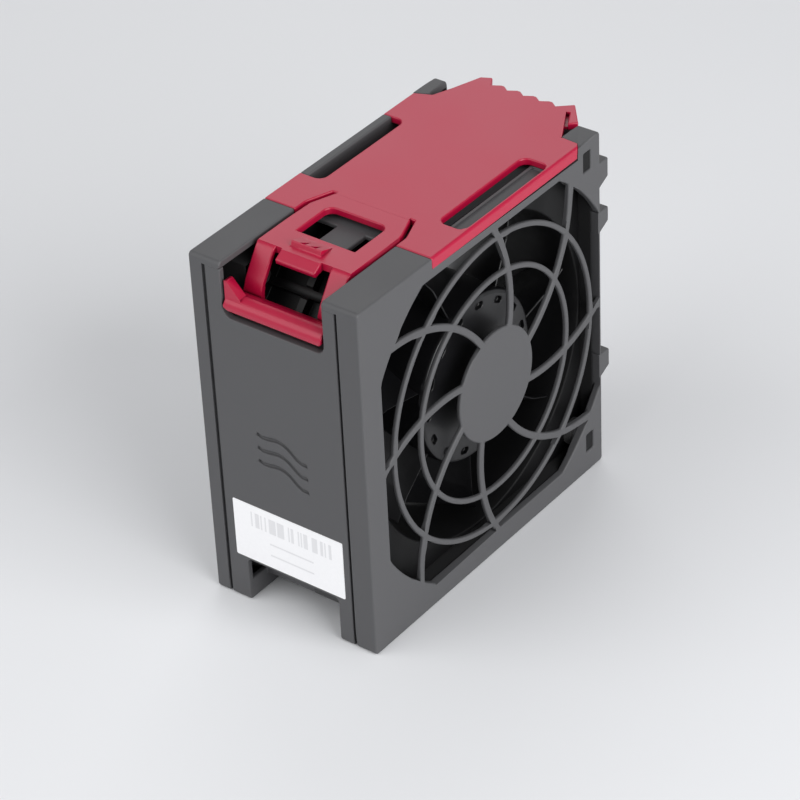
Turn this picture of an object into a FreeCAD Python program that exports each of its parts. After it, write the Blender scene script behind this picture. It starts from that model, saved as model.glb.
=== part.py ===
# Hot-plug server fan module: a 92 mm axial fan in a three-part moulded casing, closed on top by a
# cover whose sprung tongue ends in the finger bar of the release latch.
#
# X is the airflow axis and +X the intake side. Y = 0 is the fan's axis, and -Y the narrow front face
# that faces the technician. Z = 0 is the underside of the foot rails. Lengths are in millimetres.
import FreeCAD, Part
import math
import os
from FreeCAD import Vector

# ---------------------------------------------------------------- driving dimensions

# Casing mouldings
FACE_THICKNESS = 2.1           # intake and exhaust faces, with their grilles
FRONT_WALL = 1.8
REAR_WALL = 1.4
TOP_WALL = 2.0                 # plate of the top cover, and the side covers' tops beside the latch
COVER_GAP = 1.6                # chamber roof to the underside of the top cover
CASING_CORNER = 1.2            # radius of the casing's long corners
FOOT_WALL = 1.5
INTAKE_COVER_DEPTH = 6.8
EXHAUST_COVER_DEPTH = 4.5
SEAM_WIDTH = 0.9               # shadow groove between two mouldings
SEAM_DEPTH = 1.0

# Fan
FAN_SIZE = 92.0
FAN_DEPTH = 38.0
FAN_HOLE_INSET = 4.75          # fan's side to the centre of a corner hole
FAN_HOLE_RADIUS = 2.15
FAN_CORNER = 8.0
FLANGE_THICKNESS = 4.0
DUCT_MARGIN = 2.4              # fan's side to the duct, where they are nearest
DUCT_WALL = 2.2
INLET_MARGIN = 0.8             # fan's side to the mouth of the flared inlet
INLET_FLARE = 9.0              # axial length of the flare
INLET_STEPS = ((0, 0), (0.36, 0.08), (0.62, 0.3), (0.84, 0.62), (1, 1))    # its cones: shares along and out
FAN_TO_CASING = 0.3            # play round the fan in its chamber
ROOF_PLAY = 0.6                # fan to the chamber's roof
CORNER_WEB_RISE = 8.0          # how far the slanted corner webs lie outside the fan's half width
CORNER_WEB = 1.6
CORNER_RIB = 3.0               # height of the crossed ribs on a web
CORNER_RIB_WIDTH = 2.2
CORNER_RIB_X = -1.4            # middle of the rib that crosses the corner

# Grille, seen along the airflow
OPENING_DIAGONAL = 8.3         # how far the opening's round corners lie outside the fan's half width
OPENING_PAST_FRONT = 1.4       # how far the opening passes the fan's front side
OPENING_PAST_REAR = 1.0
OPENING_SHORT = 0.1            # how far it falls short of the fan's top and bottom
GRILLE_DEPTH = 1.3             # thickness of bars, rings and disc
GRILLE_DISC_RADIUS = 16.0
GRILLE_INNER_RING = 32.0
GRILLE_RING_INSET = 0.5        # duct wall to the middle of the outer ring
GRILLE_RING_WIDTH = 1.5
GRILLE_ARM_WIDTH = 2.0
GRILLE_ARMS = 8
GRILLE_TWIST = 0.80            # degrees that an arm turns for each millimetre outwards
GRILLE_ARM_RADIUS = 47.3       # radius at which the arms pass the 45 degree directions

# Rotor
TIP_CLEARANCE = 0.7
HUB_RADIUS = 23.8
HUB_WALL = 1.6
HUB_FACE = 2.2
HUB_EDGE = 1.2                 # size of the rounded edge of the face
HUB_SETBACK = 0.7              # fan face to hub face
HUB_LENGTH = 31.7
BLADES = 7
BLADE_THICKNESS = 1.5
BLADE_EDGE = 0.5               # thickness of its edges
BLADE_CAMBER = 0.10            # rise of its curve, as a share of the chord
BLADE_SPREAD = 0.42            # how much more of the circle the chord covers at the tip
BLADE_SETBACK = 1.8            # hub face to the blades' leading edges
BLADE_OVERRUN = 5.0            # how far the loft runs past hub and tip before it is trimmed
BLADE_SWEEP = 44.0             # degrees that a blade covers at the hub
BLADE_CHORD_DEPTH = 27.0       # axial reach of a blade
BLADE_TIP_SHORT = 0.08         # how much shorter it is at the tip, as a share
BLADE_SKEW = 12.0              # degrees that the tip lies behind the root
BALANCE_HOLES = 15
BALANCE_HOLE_RADIUS = 20.8     # pitch radius
BALANCE_HOLE_LENGTH = 3.4
BALANCE_HOLE_WIDTH = 1.9
BALANCE_HOLE_DEPTH = 1.2
BALANCE_HOLE_START = 12.5      # angle of the first
YOKE_WALL = 1.2
YOKE_LENGTH = 23.5
MAGNET_THICKNESS = 2.4
MAGNET_LENGTH = 17.0
BUSH_RADIUS = 4.4
BUSH_LENGTH = 6.3
COLLAR_WIDTH = 1.2
COLLAR_THICKNESS = 1.5
MAGNET_SETBACK = 0.3           # yoke's rim to the magnet

# Shaft and bearings
SHAFT_RADIUS = 2.0
BEARING_RADIUS = 4.5
BEARING_WIDTH = 4.0
BEARING_RING = 0.75
BEARING_SHIELD = 0.3           # thickness of the shields that close a bearing
SHIELD_PLAY = 0.05             # running clearance between a shield and the inner ring
BEARING_TUBE_WALL = 1.5
BEARING_TUBE_SHOULDER = 0.8
TUBE_SETBACK = 0.8             # back of the fan to the tube
TUBE_RIM = 0.4                 # how far the tube reaches past the front bearing
REAR_BEARING_X = -13.0         # outer face of the rear bearing
FRONT_BEARING_X = 4.5          # inner face of the front bearing
SHAFT_TAIL = 1.4               # shaft beyond the rear bearing
CLIP_THICKNESS = 0.4
CLIP_RADIUS = 2.6
CLIP_GROOVE = 0.4              # depth of the clip's groove
CLIP_MOUTH = 1.8
SHAFT_CHAMFER = 0.3
SPRING_WALL = 0.35
SPRING_PLAY = 0.1              # between the spring's small end and the shaft

# Stator
AIR_GAP = 0.5
CORE_LENGTH = 12.0
CORE_X = -3.2                  # exhaust end of the core
POLES = 4
POLE_STEM = 4.4
POLE_SHOE = 2.2
POLE_GAP = 2.6                 # slot between two pole shoes
CORE_YOKE = 2.2                # ring of the core round the bearing tube
INSULATOR = 0.8
INSULATOR_INSET = 0.3          # core's rim to the former's
COIL_THICKNESS = 2.4
COIL_INSIDE_GAP = 0.6          # between a coil and the core's ring
COIL_OUTSIDE_GAP = 1.3         # between a coil and its pole shoe

# Circuit board
BOARD_THICKNESS = 1.2
BOARD_RADIUS = 20.0
BOARD_PLAY = 0.15              # round the bearing tube
BOARD_X = -9.6                 # exhaust face of the board
CHIP_SIZE = (5.0, 4.0, 1.5)
CHIP_PLACE = (9.0, 3.0)        # its corner, from the fan's axis
SENSOR_SIZE = (2.2, 4.0, 1.6)
SENSOR_PAST_CORE = 0.2         # how far it reaches past the core

# Motor base and struts
BASE_THICKNESS = 2.0
BASE_RIM = 1.6
BASE_RIM_HEIGHT = 4.0
BOSS_RISE = 3.0                # boss round the bearing tube
BOSS_WALL = 1.4
STRUTS = 4
STRUT_WIDTH = 3.6
STRUT_DEPTH = 4.0
CABLE_STRUT_WIDTH = 9.4
CABLE_TROUGH_WALL = 0.7

# Lead wires and plug
WIRES = 4
WIRE_RADIUS = 0.45
WIRE_PLAY = 0.05               # under the wires in their trough
WIRE_RISE = 1.6                # back of the fan to the wires in their trough
WIRE_SPREAD = 8.0              # height above the plug where they start to spread
WIRE_SLOT_INSET = 0.2          # back of the fan to the slot in the chamber's wall
WIRE_PITCH = 2.0
WIRE_BEND = 1.6
WIRE_START = 3.0               # edge of the board to the place where the wires are soldered
PLUG_X = 9.6                   # centre of the plug
PLUG_LENGTH = 9.4
PLUG_WIDTH = 4.4
PLUG_DROP = 3.7                # how far the plug hangs below the cut-out's roof
PLUG_WALL = 0.8
CONTACT = 0.6
PLUG_MOUTH = 4.0               # depth of the plug's open mouth
CONTACT_SETBACK = 0.8          # plug's bottom to the ends of its contacts
PLUG_STEP = 0.5                # how far the plug's back stands above the shelf that carries it

# Front of the casing
INNER_WALL_GAP = 5.5           # front wall to the wall of the fan chamber
INNER_WALL = 1.5
NOTCH_LEFT = 16.4
NOTCH_RIGHT = 15.1
NOTCH_DEPTH = 15.6             # casing's top to the floor of the notch
NOTCH_CORNER = 2.6
RECESS_WALL = 1.5
RECESS_STEP = 0.5              # notch floor down to the floor of the recess behind it
CHANNEL_LEFT = 15.1
CHANNEL_RIGHT = 14.6
CHANNEL_HEIGHT = 4.6
CUTOUT_HEIGHT = 13.5
CUTOUT_CORNER = 1.2

# Roof of the fan chamber, under the top cover
ROOF_THICKNESS = 1.4
ROOF_LEFT = 18.4
ROOF_RIGHT = 17.6
ROOF_SETBACK = 34.1            # front face to the front edge of the roof
STRAP_LEFT = -6.2
STRAP_RIGHT = 2.6
STRAP_SETBACK = 18.1           # front face to the cross bar that the strap ends in
CROSS_BAR = 2.0

# Top cover
COVER_SETBACK = 30.1           # front face to the front end of the cover's sides
SKIRT_SHORT = 10.1             # back face to the rear end of the skirt
SKIRT_THICKNESS = 0.9
SKIRT_HEIGHT = 3.4
SKIRT_PLAY = 0.1
COVER_EDGE = 0.8               # round of the fold between plate and skirt
COVER_RIB = 1.4                # ribs under the plate that stand on the chamber's roof
COVER_RIB_LEFT = -14.0
COVER_RIB_RIGHT = 11.6
COVER_RIB_INSET = 4.0          # slots' front end to theirs
COVER_REAR_LEFT = -21.3        # where the grip's plate leaves the casing's edge, left and right
COVER_REAR_RIGHT = 19.8
COVER_CORNER = 0.5
COVER_CHAMFER = 1.2            # cut corner at the skirt's rear end
COVER_SLOPE = 0.4
GRIP_FLARE_X = 2.2             # left flank of the grip, across and along
GRIP_FLARE_Y = 5.5
COVER_SHORT = 8.1              # back face to the cover's rear edge beside the grip
REAR_GAP_LEFT = -22.5          # open corner beside the grip, left and right
REAR_GAP_RIGHT = -19.1
COVER_PLAY = 0.15              # between the cover's plate and the side covers' tops
SIDE_SLOT_LEFT = 19.2
SIDE_SLOT_RIGHT = 17.2
SIDE_SLOT_SETBACK = 44.6       # front face to the front end of the slots
SIDE_SLOT_SHORT = 23.1         # back face to the left one's rear end
RIGHT_SLOT_LONGER = 1.8        # how much further back the right one reaches
SIDE_SLOT_CORNER = 2.4
RAIL_RIDGE = 0.8               # ridge along the seam, seen in the right slot
RAIL_STEP = 0.6                # how far the rail beside the ridge lies below the cover
EXHAUST_RAIL = 2.5             # width of the rail in the left slot
GRIP_REACH = 5.7               # how far the crests of the grip's teeth stand behind the back face
GRIP_TOOTH_DEPTH = 1.3
GRIP_TEETH = 4
GRIP_LEFT = 13.2
GRIP_RIGHT = 12.4
GRIP_HORN = 7.7                # the same for its two end horns
HORN_BASE = 2.9                # left horn's tip to its root, across
HORN_SLOPE = 1.4               # and along
RIGHT_HORN_TIP = 0.8           # width of the right horn's tip
GRIP_VALLEY = 0.4              # share of the pitch at which a tooth begins
GRIP_CREST = (0.85, 1.05)      # shares at which its crest begins and ends
GRIP_TAB = (17.2, -1.6)        # inner corner of the tab beside the right horn: X, and Y from the back
GRIP_TAB_END = (19.2, 0.4)     # its outer corner
GRIP_SLIT = (14.4, 3.4)        # end of the slit between tab and plate
GRIP_SLIT_WIDTH = 1.1

# Release latch
LATCH_REACH = 41.8             # front face to the line where the tongue bends
LATCH_GAP = 0.3
LATCH_SIDE_PLAY = 1.35         # tongue to the sides of the notch
LATCH_TAPER = 2.8              # how much narrower the root is on each side
LATCH_TAPER_LENGTH = 7.5
LATCH_TAPER_ROUND = 4.0
LATCH_ROOT_ROUND = 0.4
LATCH_SLOT = 1.3
LATCH_WINDOW_HALF = 9.1
LATCH_WINDOW_START = 6.0       # bending line to the window
LATCH_WINDOW_LENGTH = 13.5
LATCH_WINDOW_CORNER = 2.4
LATCH_BRIDGE_SETBACK = 13.9    # front face to the front of the bridge before the window
LATCH_LEG_WIDTH = 5.6
LATCH_LEG = 1.4                # thickness of the legs
LEG_SLANT = 34.0               # degrees between a leg's upper part and the vertical
LEG_ROOT = 2.0                 # how far a leg reaches into the bridge
LEG_BEND = 2.5                 # outer radius where a leg leaves the tongue
LEG_INNER_BEND = 0.5
LEG_KNEE = 8.0                 # outer radius where it turns down behind the bar
LEG_KNEE_DROP = 0.2            # bar's top down to the middle of that turn
LEG_INTO_BAR = 0.8             # how deep the legs sink in the bar's back
LEG_FOOT = 1.0                 # underside of the bar to the legs' ends
LATCH_PLATE = 2.0
LIP_LEFT = -7.4
LIP_RIGHT = 4.8
LIP_REACH = 3.4
LIP_DROP = 1.6
LIP_FLAT = 0.6                 # bridge to where the lip starts to slope
LIP_EDGE = 1.6                 # height of the lip's front edge
LIP_ROUND = 0.6
PAD_LEFT = -6.3
PAD_RIGHT = 5.0
PAD_SETBACK = 15.7             # front face to the pad's front
PAD_LENGTH = 5.0
PAD_RISE = 1.5
PAD_LEAN = 0.6                 # how far the pad's front leans back
PAD_EDGE = 0.3
BAR_PROUD = 0.3                # how far the bar stands before the front face
BAR_DEPTH = 8.0
BAR_HEIGHT = 4.7
BAR_REAR_FALL = 2.9            # how far its top slopes down to the back
BAR_FRONT_FALL = 1.6           # and to the front
BAR_CREST = 4.6                # bar's back to the crest of its top
BAR_ROUNDS = (0.4, 0.6, 3.0, 2.4, 1.3)    # of its five edges, from the lower rear one round the top
BAR_CLEARANCE = 1.8            # notch floor to the bar
BAR_SIDE_PLAY = 0.6
HORN_RISE = 3.9                # how far the horn on the bar's left end stands above it
HORN_WIDTH = 4.6
HORN_TIP = 0.8                 # width of its tip
HORN_SINK = 0.2                # how deep its foot lies in the bar's crest
HORN_SETBACK = 1.0             # bar's front to the horn
HORN_THICKNESS = 2.6

# Label and airflow mark
LABEL_LEFT = -18.3
LABEL_RIGHT = 17.1
LABEL_BOTTOM = 14.4
LABEL_TOP = 32.2
LABEL_THICKNESS = 0.15
LABEL_CORNER = 0.4
WAVE_LEFT = -8.6
WAVE_RIGHT = 7.2
WAVE_TOP = 55.9
WAVE_PITCH = 4.1
WAVES = 3
WAVE_PATH = ((0, 0), (0.16, -0.5), (0.40, 0.1), (0.62, -0.9), (0.80, -3.2), (1, -3.9))    # share, fall
WAVE_STROKE = 1.2
WAVE_DEPTH = 0.9

# Guide lugs on the back, snap windows and isolators
LUG_REACH = 3.8
LUG_THICKNESS = 3.0
LUG_ROUND = 0.6
LUGS = ((34.4, 42.0), (20.8, 27.1), (-25.0, -17.8))    # root and top, from the fan's axis
WINDOW_SHORT = 5.8             # back face to the middle of a snap window
WINDOW_WIDTH = 3.3
WINDOW_HEIGHT = 5.7
WINDOW_CORNER = 0.3
WINDOW_RISE = 0.7              # fan's top down to the middle of the upper window
WINDOW_FALL = 2.9              # fan's bottom up to the middle of the lower one
ISOLATOR_RADIUS = 3.8
ISOLATOR_PLAY = 0.05
INTAKE_PAD = 2.4               # rubber between the fan and the intake cover's posts
INTAKE_POST = 1.2
EXHAUST_PAD = 3.2
EXHAUST_POST = 3.2

# ---------------------------------------------------------------- places worked out from them

FAN_HALF = FAN_SIZE / 2
DUCT_RADIUS = FAN_HALF - DUCT_MARGIN
INLET_RADIUS = FAN_HALF - INLET_MARGIN
CORNER_WEB_DISTANCE = FAN_HALF + CORNER_WEB_RISE
CASING_DEPTH = FAN_DEPTH + INTAKE_PAD + INTAKE_POST + EXHAUST_PAD + EXHAUST_POST + 2 * FACE_THICKNESS
INTAKE = CASING_DEPTH / 2
EXHAUST = -CASING_DEPTH / 2
INTAKE_SEAM = INTAKE - INTAKE_COVER_DEPTH
EXHAUST_SEAM = EXHAUST + EXHAUST_COVER_DEPTH
INTAKE_INSIDE = INTAKE - FACE_THICKNESS
EXHAUST_INSIDE = EXHAUST + FACE_THICKNESS
FAN_FACE = INTAKE_INSIDE - INTAKE_POST - INTAKE_PAD
FAN_BACK = FAN_FACE - FAN_DEPTH
CHAMBER_FRONT = -FAN_HALF - FAN_TO_CASING
INNER_WALL_FRONT = CHAMBER_FRONT - INNER_WALL
FRONT = INNER_WALL_FRONT - INNER_WALL_GAP - FRONT_WALL
CHAMBER_REAR = FAN_HALF + FAN_TO_CASING
BACK = CHAMBER_REAR + REAR_WALL
CHAMBER_FLOOR = CHANNEL_HEIGHT + FOOT_WALL
AXIS_HEIGHT = CHAMBER_FLOOR + FAN_TO_CASING + FAN_HALF
ROOF_BOTTOM = AXIS_HEIGHT + FAN_HALF + ROOF_PLAY
ROOF_TOP = ROOF_BOTTOM + ROOF_THICKNESS
COVER_SEAT = ROOF_TOP + COVER_GAP
CASING_HEIGHT = COVER_SEAT + TOP_WALL
NOTCH_FLOOR = CASING_HEIGHT - NOTCH_DEPTH
RECESS_FLOOR = NOTCH_FLOOR - RECESS_STEP
ROOF_FRONT = FRONT + ROOF_SETBACK
STRAP_FRONT = FRONT + STRAP_SETBACK
COVER_FRONT = FRONT + COVER_SETBACK
COVER_SKIRT_END = BACK - SKIRT_SHORT
COVER_CORNER_Y = BACK - COVER_SHORT
SIDE_SLOT_FRONT = FRONT + SIDE_SLOT_SETBACK
SIDE_SLOT_REAR = BACK - SIDE_SLOT_SHORT
RIGHT_SLOT_REAR = SIDE_SLOT_REAR + RIGHT_SLOT_LONGER
SKIRT_BOTTOM = CASING_HEIGHT - SKIRT_HEIGHT
LATCH_HINGE_Y = FRONT + LATCH_REACH
LATCH_CENTRE = (NOTCH_RIGHT - NOTCH_LEFT) / 2
LATCH_HALF = (NOTCH_RIGHT + NOTCH_LEFT) / 2 - LATCH_SIDE_PLAY
LATCH_ROOT_HALF = LATCH_HALF - LATCH_TAPER
LATCH_WINDOW_REAR = LATCH_HINGE_Y - LATCH_WINDOW_START
LATCH_WINDOW_FRONT = LATCH_WINDOW_REAR - LATCH_WINDOW_LENGTH
LATCH_BRIDGE_FRONT = FRONT + LATCH_BRIDGE_SETBACK
BAR_FRONT = FRONT - BAR_PROUD
BAR_BACK = BAR_FRONT + BAR_DEPTH
BAR_BOTTOM = NOTCH_FLOOR + BAR_CLEARANCE
BAR_TOP = BAR_BOTTOM + BAR_HEIGHT
HORN_TOP = BAR_TOP + HORN_RISE
LATCH_LEG_FRONT = BAR_BACK - LEG_INTO_BAR
HUB_FRONT = FAN_FACE - HUB_SETBACK
HUB_REAR = HUB_FRONT - HUB_LENGTH
BLADE_TIP = DUCT_RADIUS - TIP_CLEARANCE
YOKE_RADIUS = HUB_RADIUS - HUB_WALL
YOKE_FACE = HUB_FRONT - HUB_FACE
MAGNET_OUTER = YOKE_RADIUS - YOKE_WALL
MAGNET_INNER = MAGNET_OUTER - MAGNET_THICKNESS
YOKE_REAR = YOKE_FACE - YOKE_LENGTH
CORE_RADIUS = MAGNET_INNER - AIR_GAP
TUBE_RADIUS = BEARING_RADIUS + BEARING_TUBE_WALL
PLUG_BOTTOM = CUTOUT_HEIGHT - PLUG_DROP
COIL_INNER = TUBE_RADIUS + CORE_YOKE + COIL_INSIDE_GAP
COIL_OUTER = CORE_RADIUS - POLE_SHOE - COIL_OUTSIDE_GAP
BUSH_FRONT = YOKE_FACE - YOKE_WALL
BUSH_REAR = BUSH_FRONT - BUSH_LENGTH
BASE_FRONT = FAN_BACK + BASE_THICKNESS
FRONT_BEARING_FACE = FRONT_BEARING_X + BEARING_WIDTH
REAR_BEARING_FACE = REAR_BEARING_X + BEARING_WIDTH
EPS = 0.01


# ---------------------------------------------------------------- shape helpers

def block(x0, x1, y0, y1, z0, z1):
    """A box between two corners."""
    return Part.makeBox(x1 - x0, y1 - y0, z1 - z0, Vector(x0, y0, z0))


def round_bar(x0, x1, radius, y=0.0, z=AXIS_HEIGHT):
    """A round bar along X."""
    return Part.makeCylinder(radius, x1 - x0, Vector(x0, y, z), Vector(1, 0, 0))


def tube(x0, x1, outer, inner, y=0.0, z=AXIS_HEIGHT):
    """A round tube along X."""
    return round_bar(x0, x1, outer, y, z).cut(round_bar(x0 - 1, x1 + 1, inner, y, z))


def on_plane(normal, level):
    """Return the function that puts a flat point (u, v) on the plane square to an axis."""
    if normal == "X":
        return lambda u, v: Vector(level, u, v)
    if normal == "Y":
        return lambda u, v: Vector(u, level, v)
    return lambda u, v: Vector(u, v, level)


def outline(corners, place):
    """A closed wire through corners (u, v, radius), each corner rounded to its radius."""
    starts, middles, ends = [], [], []
    for i, (u, v, radius) in enumerate(corners):
        here = Vector(u, v, 0)
        before = Vector(corners[i - 1][0], corners[i - 1][1], 0) - here
        after_corner = corners[(i + 1) % len(corners)]
        after = Vector(after_corner[0], after_corner[1], 0) - here
        before.normalize()
        after.normalize()
        half = before.getAngle(after) / 2
        reach = radius / math.tan(half)
        inward = before + after
        if inward.Length > 1e-9:
            inward.normalize()
        starts.append(here + before * reach)
        ends.append(here + after * reach)
        middles.append(here + inward * (radius / math.sin(half) - radius))
    edges = []
    for i, (u, v, radius) in enumerate(corners):
        line_from = ends[i - 1]
        if line_from.distanceToPoint(starts[i]) > 1e-6:
            edges.append(Part.makeLine(place(line_from.x, line_from.y), place(starts[i].x, starts[i].y)))
        if radius > 0:
            three = [place(p.x, p.y) for p in (starts[i], middles[i], ends[i])]
            edges.append(Part.Arc(*three).toShape())
    return Part.Wire(edges)


def prism(corners, normal, low, high):
    """A plate with rounded corners between two levels along an axis."""
    along = {"X": Vector(1, 0, 0), "Y": Vector(0, 1, 0), "Z": Vector(0, 0, 1)}[normal]
    face = Part.Face(outline(corners, on_plane(normal, low)))
    return face.extrude(along * (high - low))


def rectangle(u0, u1, v0, v1, radius=0.0):
    """The four corners of a rectangle, for prism."""
    return [(u0, v0, radius), (u1, v0, radius), (u1, v1, radius), (u0, v1, radius)]


def turned(profile):
    """Turn a closed profile of (x, radius) points about the fan's axis."""
    points = [Vector(x, 0, AXIS_HEIGHT + r) for x, r in profile]
    face = Part.Face(Part.makePolygon(points + points[:1]))
    return face.revolve(Vector(0, 0, AXIS_HEIGHT), Vector(1, 0, 0), 360)


def spun(shape, angle):
    """A copy of a shape turned about the fan's axis."""
    copy = shape.copy()
    copy.rotate(Vector(0, 0, AXIS_HEIGHT), Vector(1, 0, 0), angle)
    return copy


def polar(radius, angle, x=0.0):
    """A point at a radius and an angle (degrees from +Y towards +Z) about the fan's axis."""
    turn = math.radians(angle)
    return Vector(x, radius * math.cos(turn), AXIS_HEIGHT + radius * math.sin(turn))


def fused(shapes):
    """One solid from shapes that touch or overlap."""
    return shapes[0].multiFuse(shapes[1:]).removeSplitter()


def cut_all(shape, tools):
    """Cut several tools out of a shape."""
    return shape.cut(Part.makeCompound(tools))


# ---------------------------------------------------------------- grille

def opening_outline(grow=0.0):
    """The airflow opening: a circle about the fan's axis, cut straight on four sides."""
    half_height = FAN_HALF - OPENING_SHORT + grow
    disc = round_bar(0, 1, FAN_HALF + OPENING_DIAGONAL + grow)
    window = block(0, 1, -FAN_HALF - OPENING_PAST_FRONT - grow, FAN_HALF + OPENING_PAST_REAR + grow,
                   AXIS_HEIGHT - half_height, AXIS_HEIGHT + half_height)
    return disc.common(window)


def opening(x0, x1, grow=0.0):
    """The airflow opening as a solid between two levels."""
    shape = opening_outline(grow)
    face = [f for f in shape.Faces if abs(f.CenterOfMass.x) < 1e-6][0]
    solid = face.extrude(Vector(x1 - x0, 0, 0))
    solid.translate(Vector(x0, 0, 0))
    return solid


def arm_point(radius, side):
    """A point of one spiral arm: on its centre line, or half its width to one side."""
    angle = GRILLE_TWIST * (radius - GRILLE_ARM_RADIUS)
    lead = math.atan(radius * math.radians(GRILLE_TWIST))
    centre = polar(radius, angle)
    turn = math.radians(angle) + lead
    across = Vector(0, -math.sin(turn), math.cos(turn))
    return centre + across * (side * GRILLE_ARM_WIDTH / 2)


def grille_arm(x0, x1):
    """One spiral arm, from inside the disc to beyond the opening's edge."""
    start, end = GRILLE_DISC_RADIUS - 2, FAN_HALF + OPENING_DIAGONAL + 2
    radii = (start, (start + end) / 2, end)
    left = [arm_point(r, 1) for r in radii]
    right = [arm_point(r, -1) for r in radii]
    edges = [Part.Arc(*left).toShape(), Part.makeLine(left[2], right[2]),
             Part.Arc(right[2], right[1], right[0]).toShape(), Part.makeLine(right[0], left[0])]
    solid = Part.Face(Part.Wire(edges)).extrude(Vector(x1 - x0, 0, 0))
    solid.translate(Vector(x0, 0, 0))
    return solid


def grille(x0, x1):
    """The finger guard: a disc, two rings and the spiral arms that carry them."""
    half = GRILLE_RING_WIDTH / 2
    arm = grille_arm(x0, x1)
    parts = [round_bar(x0, x1, GRILLE_DISC_RADIUS)]
    parts += [tube(x0, x1, r + half, r - half) for r in (GRILLE_INNER_RING, DUCT_RADIUS - GRILLE_RING_INSET)]
    parts += [spun(arm, i * 360 / GRILLE_ARMS) for i in range(GRILLE_ARMS)]
    return fused(parts).common(opening(x0, x1, 0.2))


# ---------------------------------------------------------------- casing

def casing_body(x0, x1):
    """The casing's outer form between two levels along the airflow."""
    corners = rectangle(FRONT, BACK, 0, CASING_HEIGHT, CASING_CORNER)
    return prism(corners, "X", x0, x1)


def seam_groove(x):
    """The shadow groove round the casing at a seam."""
    x0, x1 = x - SEAM_WIDTH / 2, x + SEAM_WIDTH / 2
    outer = block(x0, x1, FRONT - 1, BACK + 1, -1, CASING_HEIGHT + 1)
    inner = block(x0, x1, FRONT + SEAM_DEPTH, BACK - SEAM_DEPTH, SEAM_DEPTH, CASING_HEIGHT - SEAM_DEPTH)
    return outer.cut(inner)


def isolator_places():
    """Centres of the fan's four corner holes."""
    half = FAN_HALF - FAN_HOLE_INSET
    return [(sy * half, AXIS_HEIGHT + sz * half) for sy in (-1, 1) for sz in (-1, 1)]


def side_shell(face_x, inner_x, seam_x):
    """The tray of a side cover: its face with the opening, and its four walls."""
    x0, x1 = min(face_x, seam_x), max(face_x, seam_x)
    shell = casing_body(x0, x1)
    hollow_y = (FRONT + FRONT_WALL, BACK - REAR_WALL / 2)
    hollow = block(min(inner_x, seam_x) - (EPS if seam_x < inner_x else 0),
                   max(inner_x, seam_x) + (EPS if seam_x > inner_x else 0),
                   hollow_y[0], hollow_y[1], FOOT_WALL, COVER_SEAT)
    shell = cut_all(shell, [hollow, opening(x0 - 1, x1 + 1).common(block(
        min(face_x, inner_x) - 1, max(face_x, inner_x) + 1, FRONT, BACK, 0, CASING_HEIGHT))])
    return shell.cut(seam_groove(seam_x))


def top_plate(x0, x1):
    """The part of a side cover's top that stands level with the top cover, beside the latch."""
    level = block(x0, x1, FRONT, COVER_FRONT - SKIRT_PLAY, COVER_SEAT, CASING_HEIGHT)
    return casing_body(x0, x1).common(level)


def guide_lug(root, top):
    """A guide lug on the back of the intake cover, its lower edge slanted."""
    low, high = AXIS_HEIGHT + root, AXIS_HEIGHT + top
    corners = [(BACK - 1, low, 0), (BACK, low, 0), (BACK + LUG_REACH, low + LUG_REACH / 2, LUG_ROUND),
               (BACK + LUG_REACH, high, LUG_ROUND), (BACK - 1, high, 0)]
    return prism(corners, "X", INTAKE - LUG_THICKNESS, INTAKE)


def snap_window(z):
    """The window in the intake face over a snap hook."""
    y = BACK - WINDOW_SHORT
    width, height = WINDOW_WIDTH / 2, WINDOW_HEIGHT / 2
    corners = rectangle(y - width, y + width, z - height, z + height, WINDOW_CORNER)
    return prism(corners, "X", INTAKE_INSIDE - 1, INTAKE + 1)


def intake_cover():
    """Side moulding on the intake side, with grille, snap windows, guide lugs and a top plate."""
    shell = side_shell(INTAKE, INTAKE_INSIDE, INTAKE_SEAM)
    plate = top_plate(NOTCH_RIGHT, INTAKE_SEAM + 1)
    rail = block(INTAKE_SEAM + EPS, INTAKE_INSIDE, COVER_FRONT, BACK - REAR_WALL, ROOF_BOTTOM, COVER_SEAT)
    beside_ridge = block(INTAKE_SEAM + RAIL_RIDGE, INTAKE, SIDE_SLOT_FRONT, RIGHT_SLOT_REAR,
                         COVER_SEAT - RAIL_STEP, COVER_SEAT + 1)
    rail = rail.cut(beside_ridge)
    posts = [round_bar(FAN_FACE + INTAKE_PAD, INTAKE_INSIDE + EPS, ISOLATOR_RADIUS, y, z)
             for y, z in isolator_places()]
    lugs = [guide_lug(root, top) for root, top in LUGS]
    shape = fused([shell, grille(INTAKE - GRILLE_DEPTH, INTAKE), plate, rail] + posts + lugs)
    skirt_bed = block(INTAKE - SKIRT_THICKNESS - SKIRT_PLAY, INTAKE + 1, COVER_FRONT - SKIRT_PLAY,
                      COVER_SKIRT_END + SKIRT_PLAY, SKIRT_BOTTOM - SKIRT_PLAY, CASING_HEIGHT + 1)
    windows = [snap_window(AXIS_HEIGHT + FAN_HALF - WINDOW_RISE),
               snap_window(AXIS_HEIGHT - FAN_HALF + WINDOW_FALL)]
    return cut_all(shape, [skirt_bed, cover_bed()] + windows)


def rear_gap():
    """The open corner beside the grip, over the chamber's roof."""
    return block(REAR_GAP_LEFT, REAR_GAP_RIGHT, COVER_CORNER_Y, BACK + 1, ROOF_BOTTOM, CASING_HEIGHT + 1)


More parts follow.
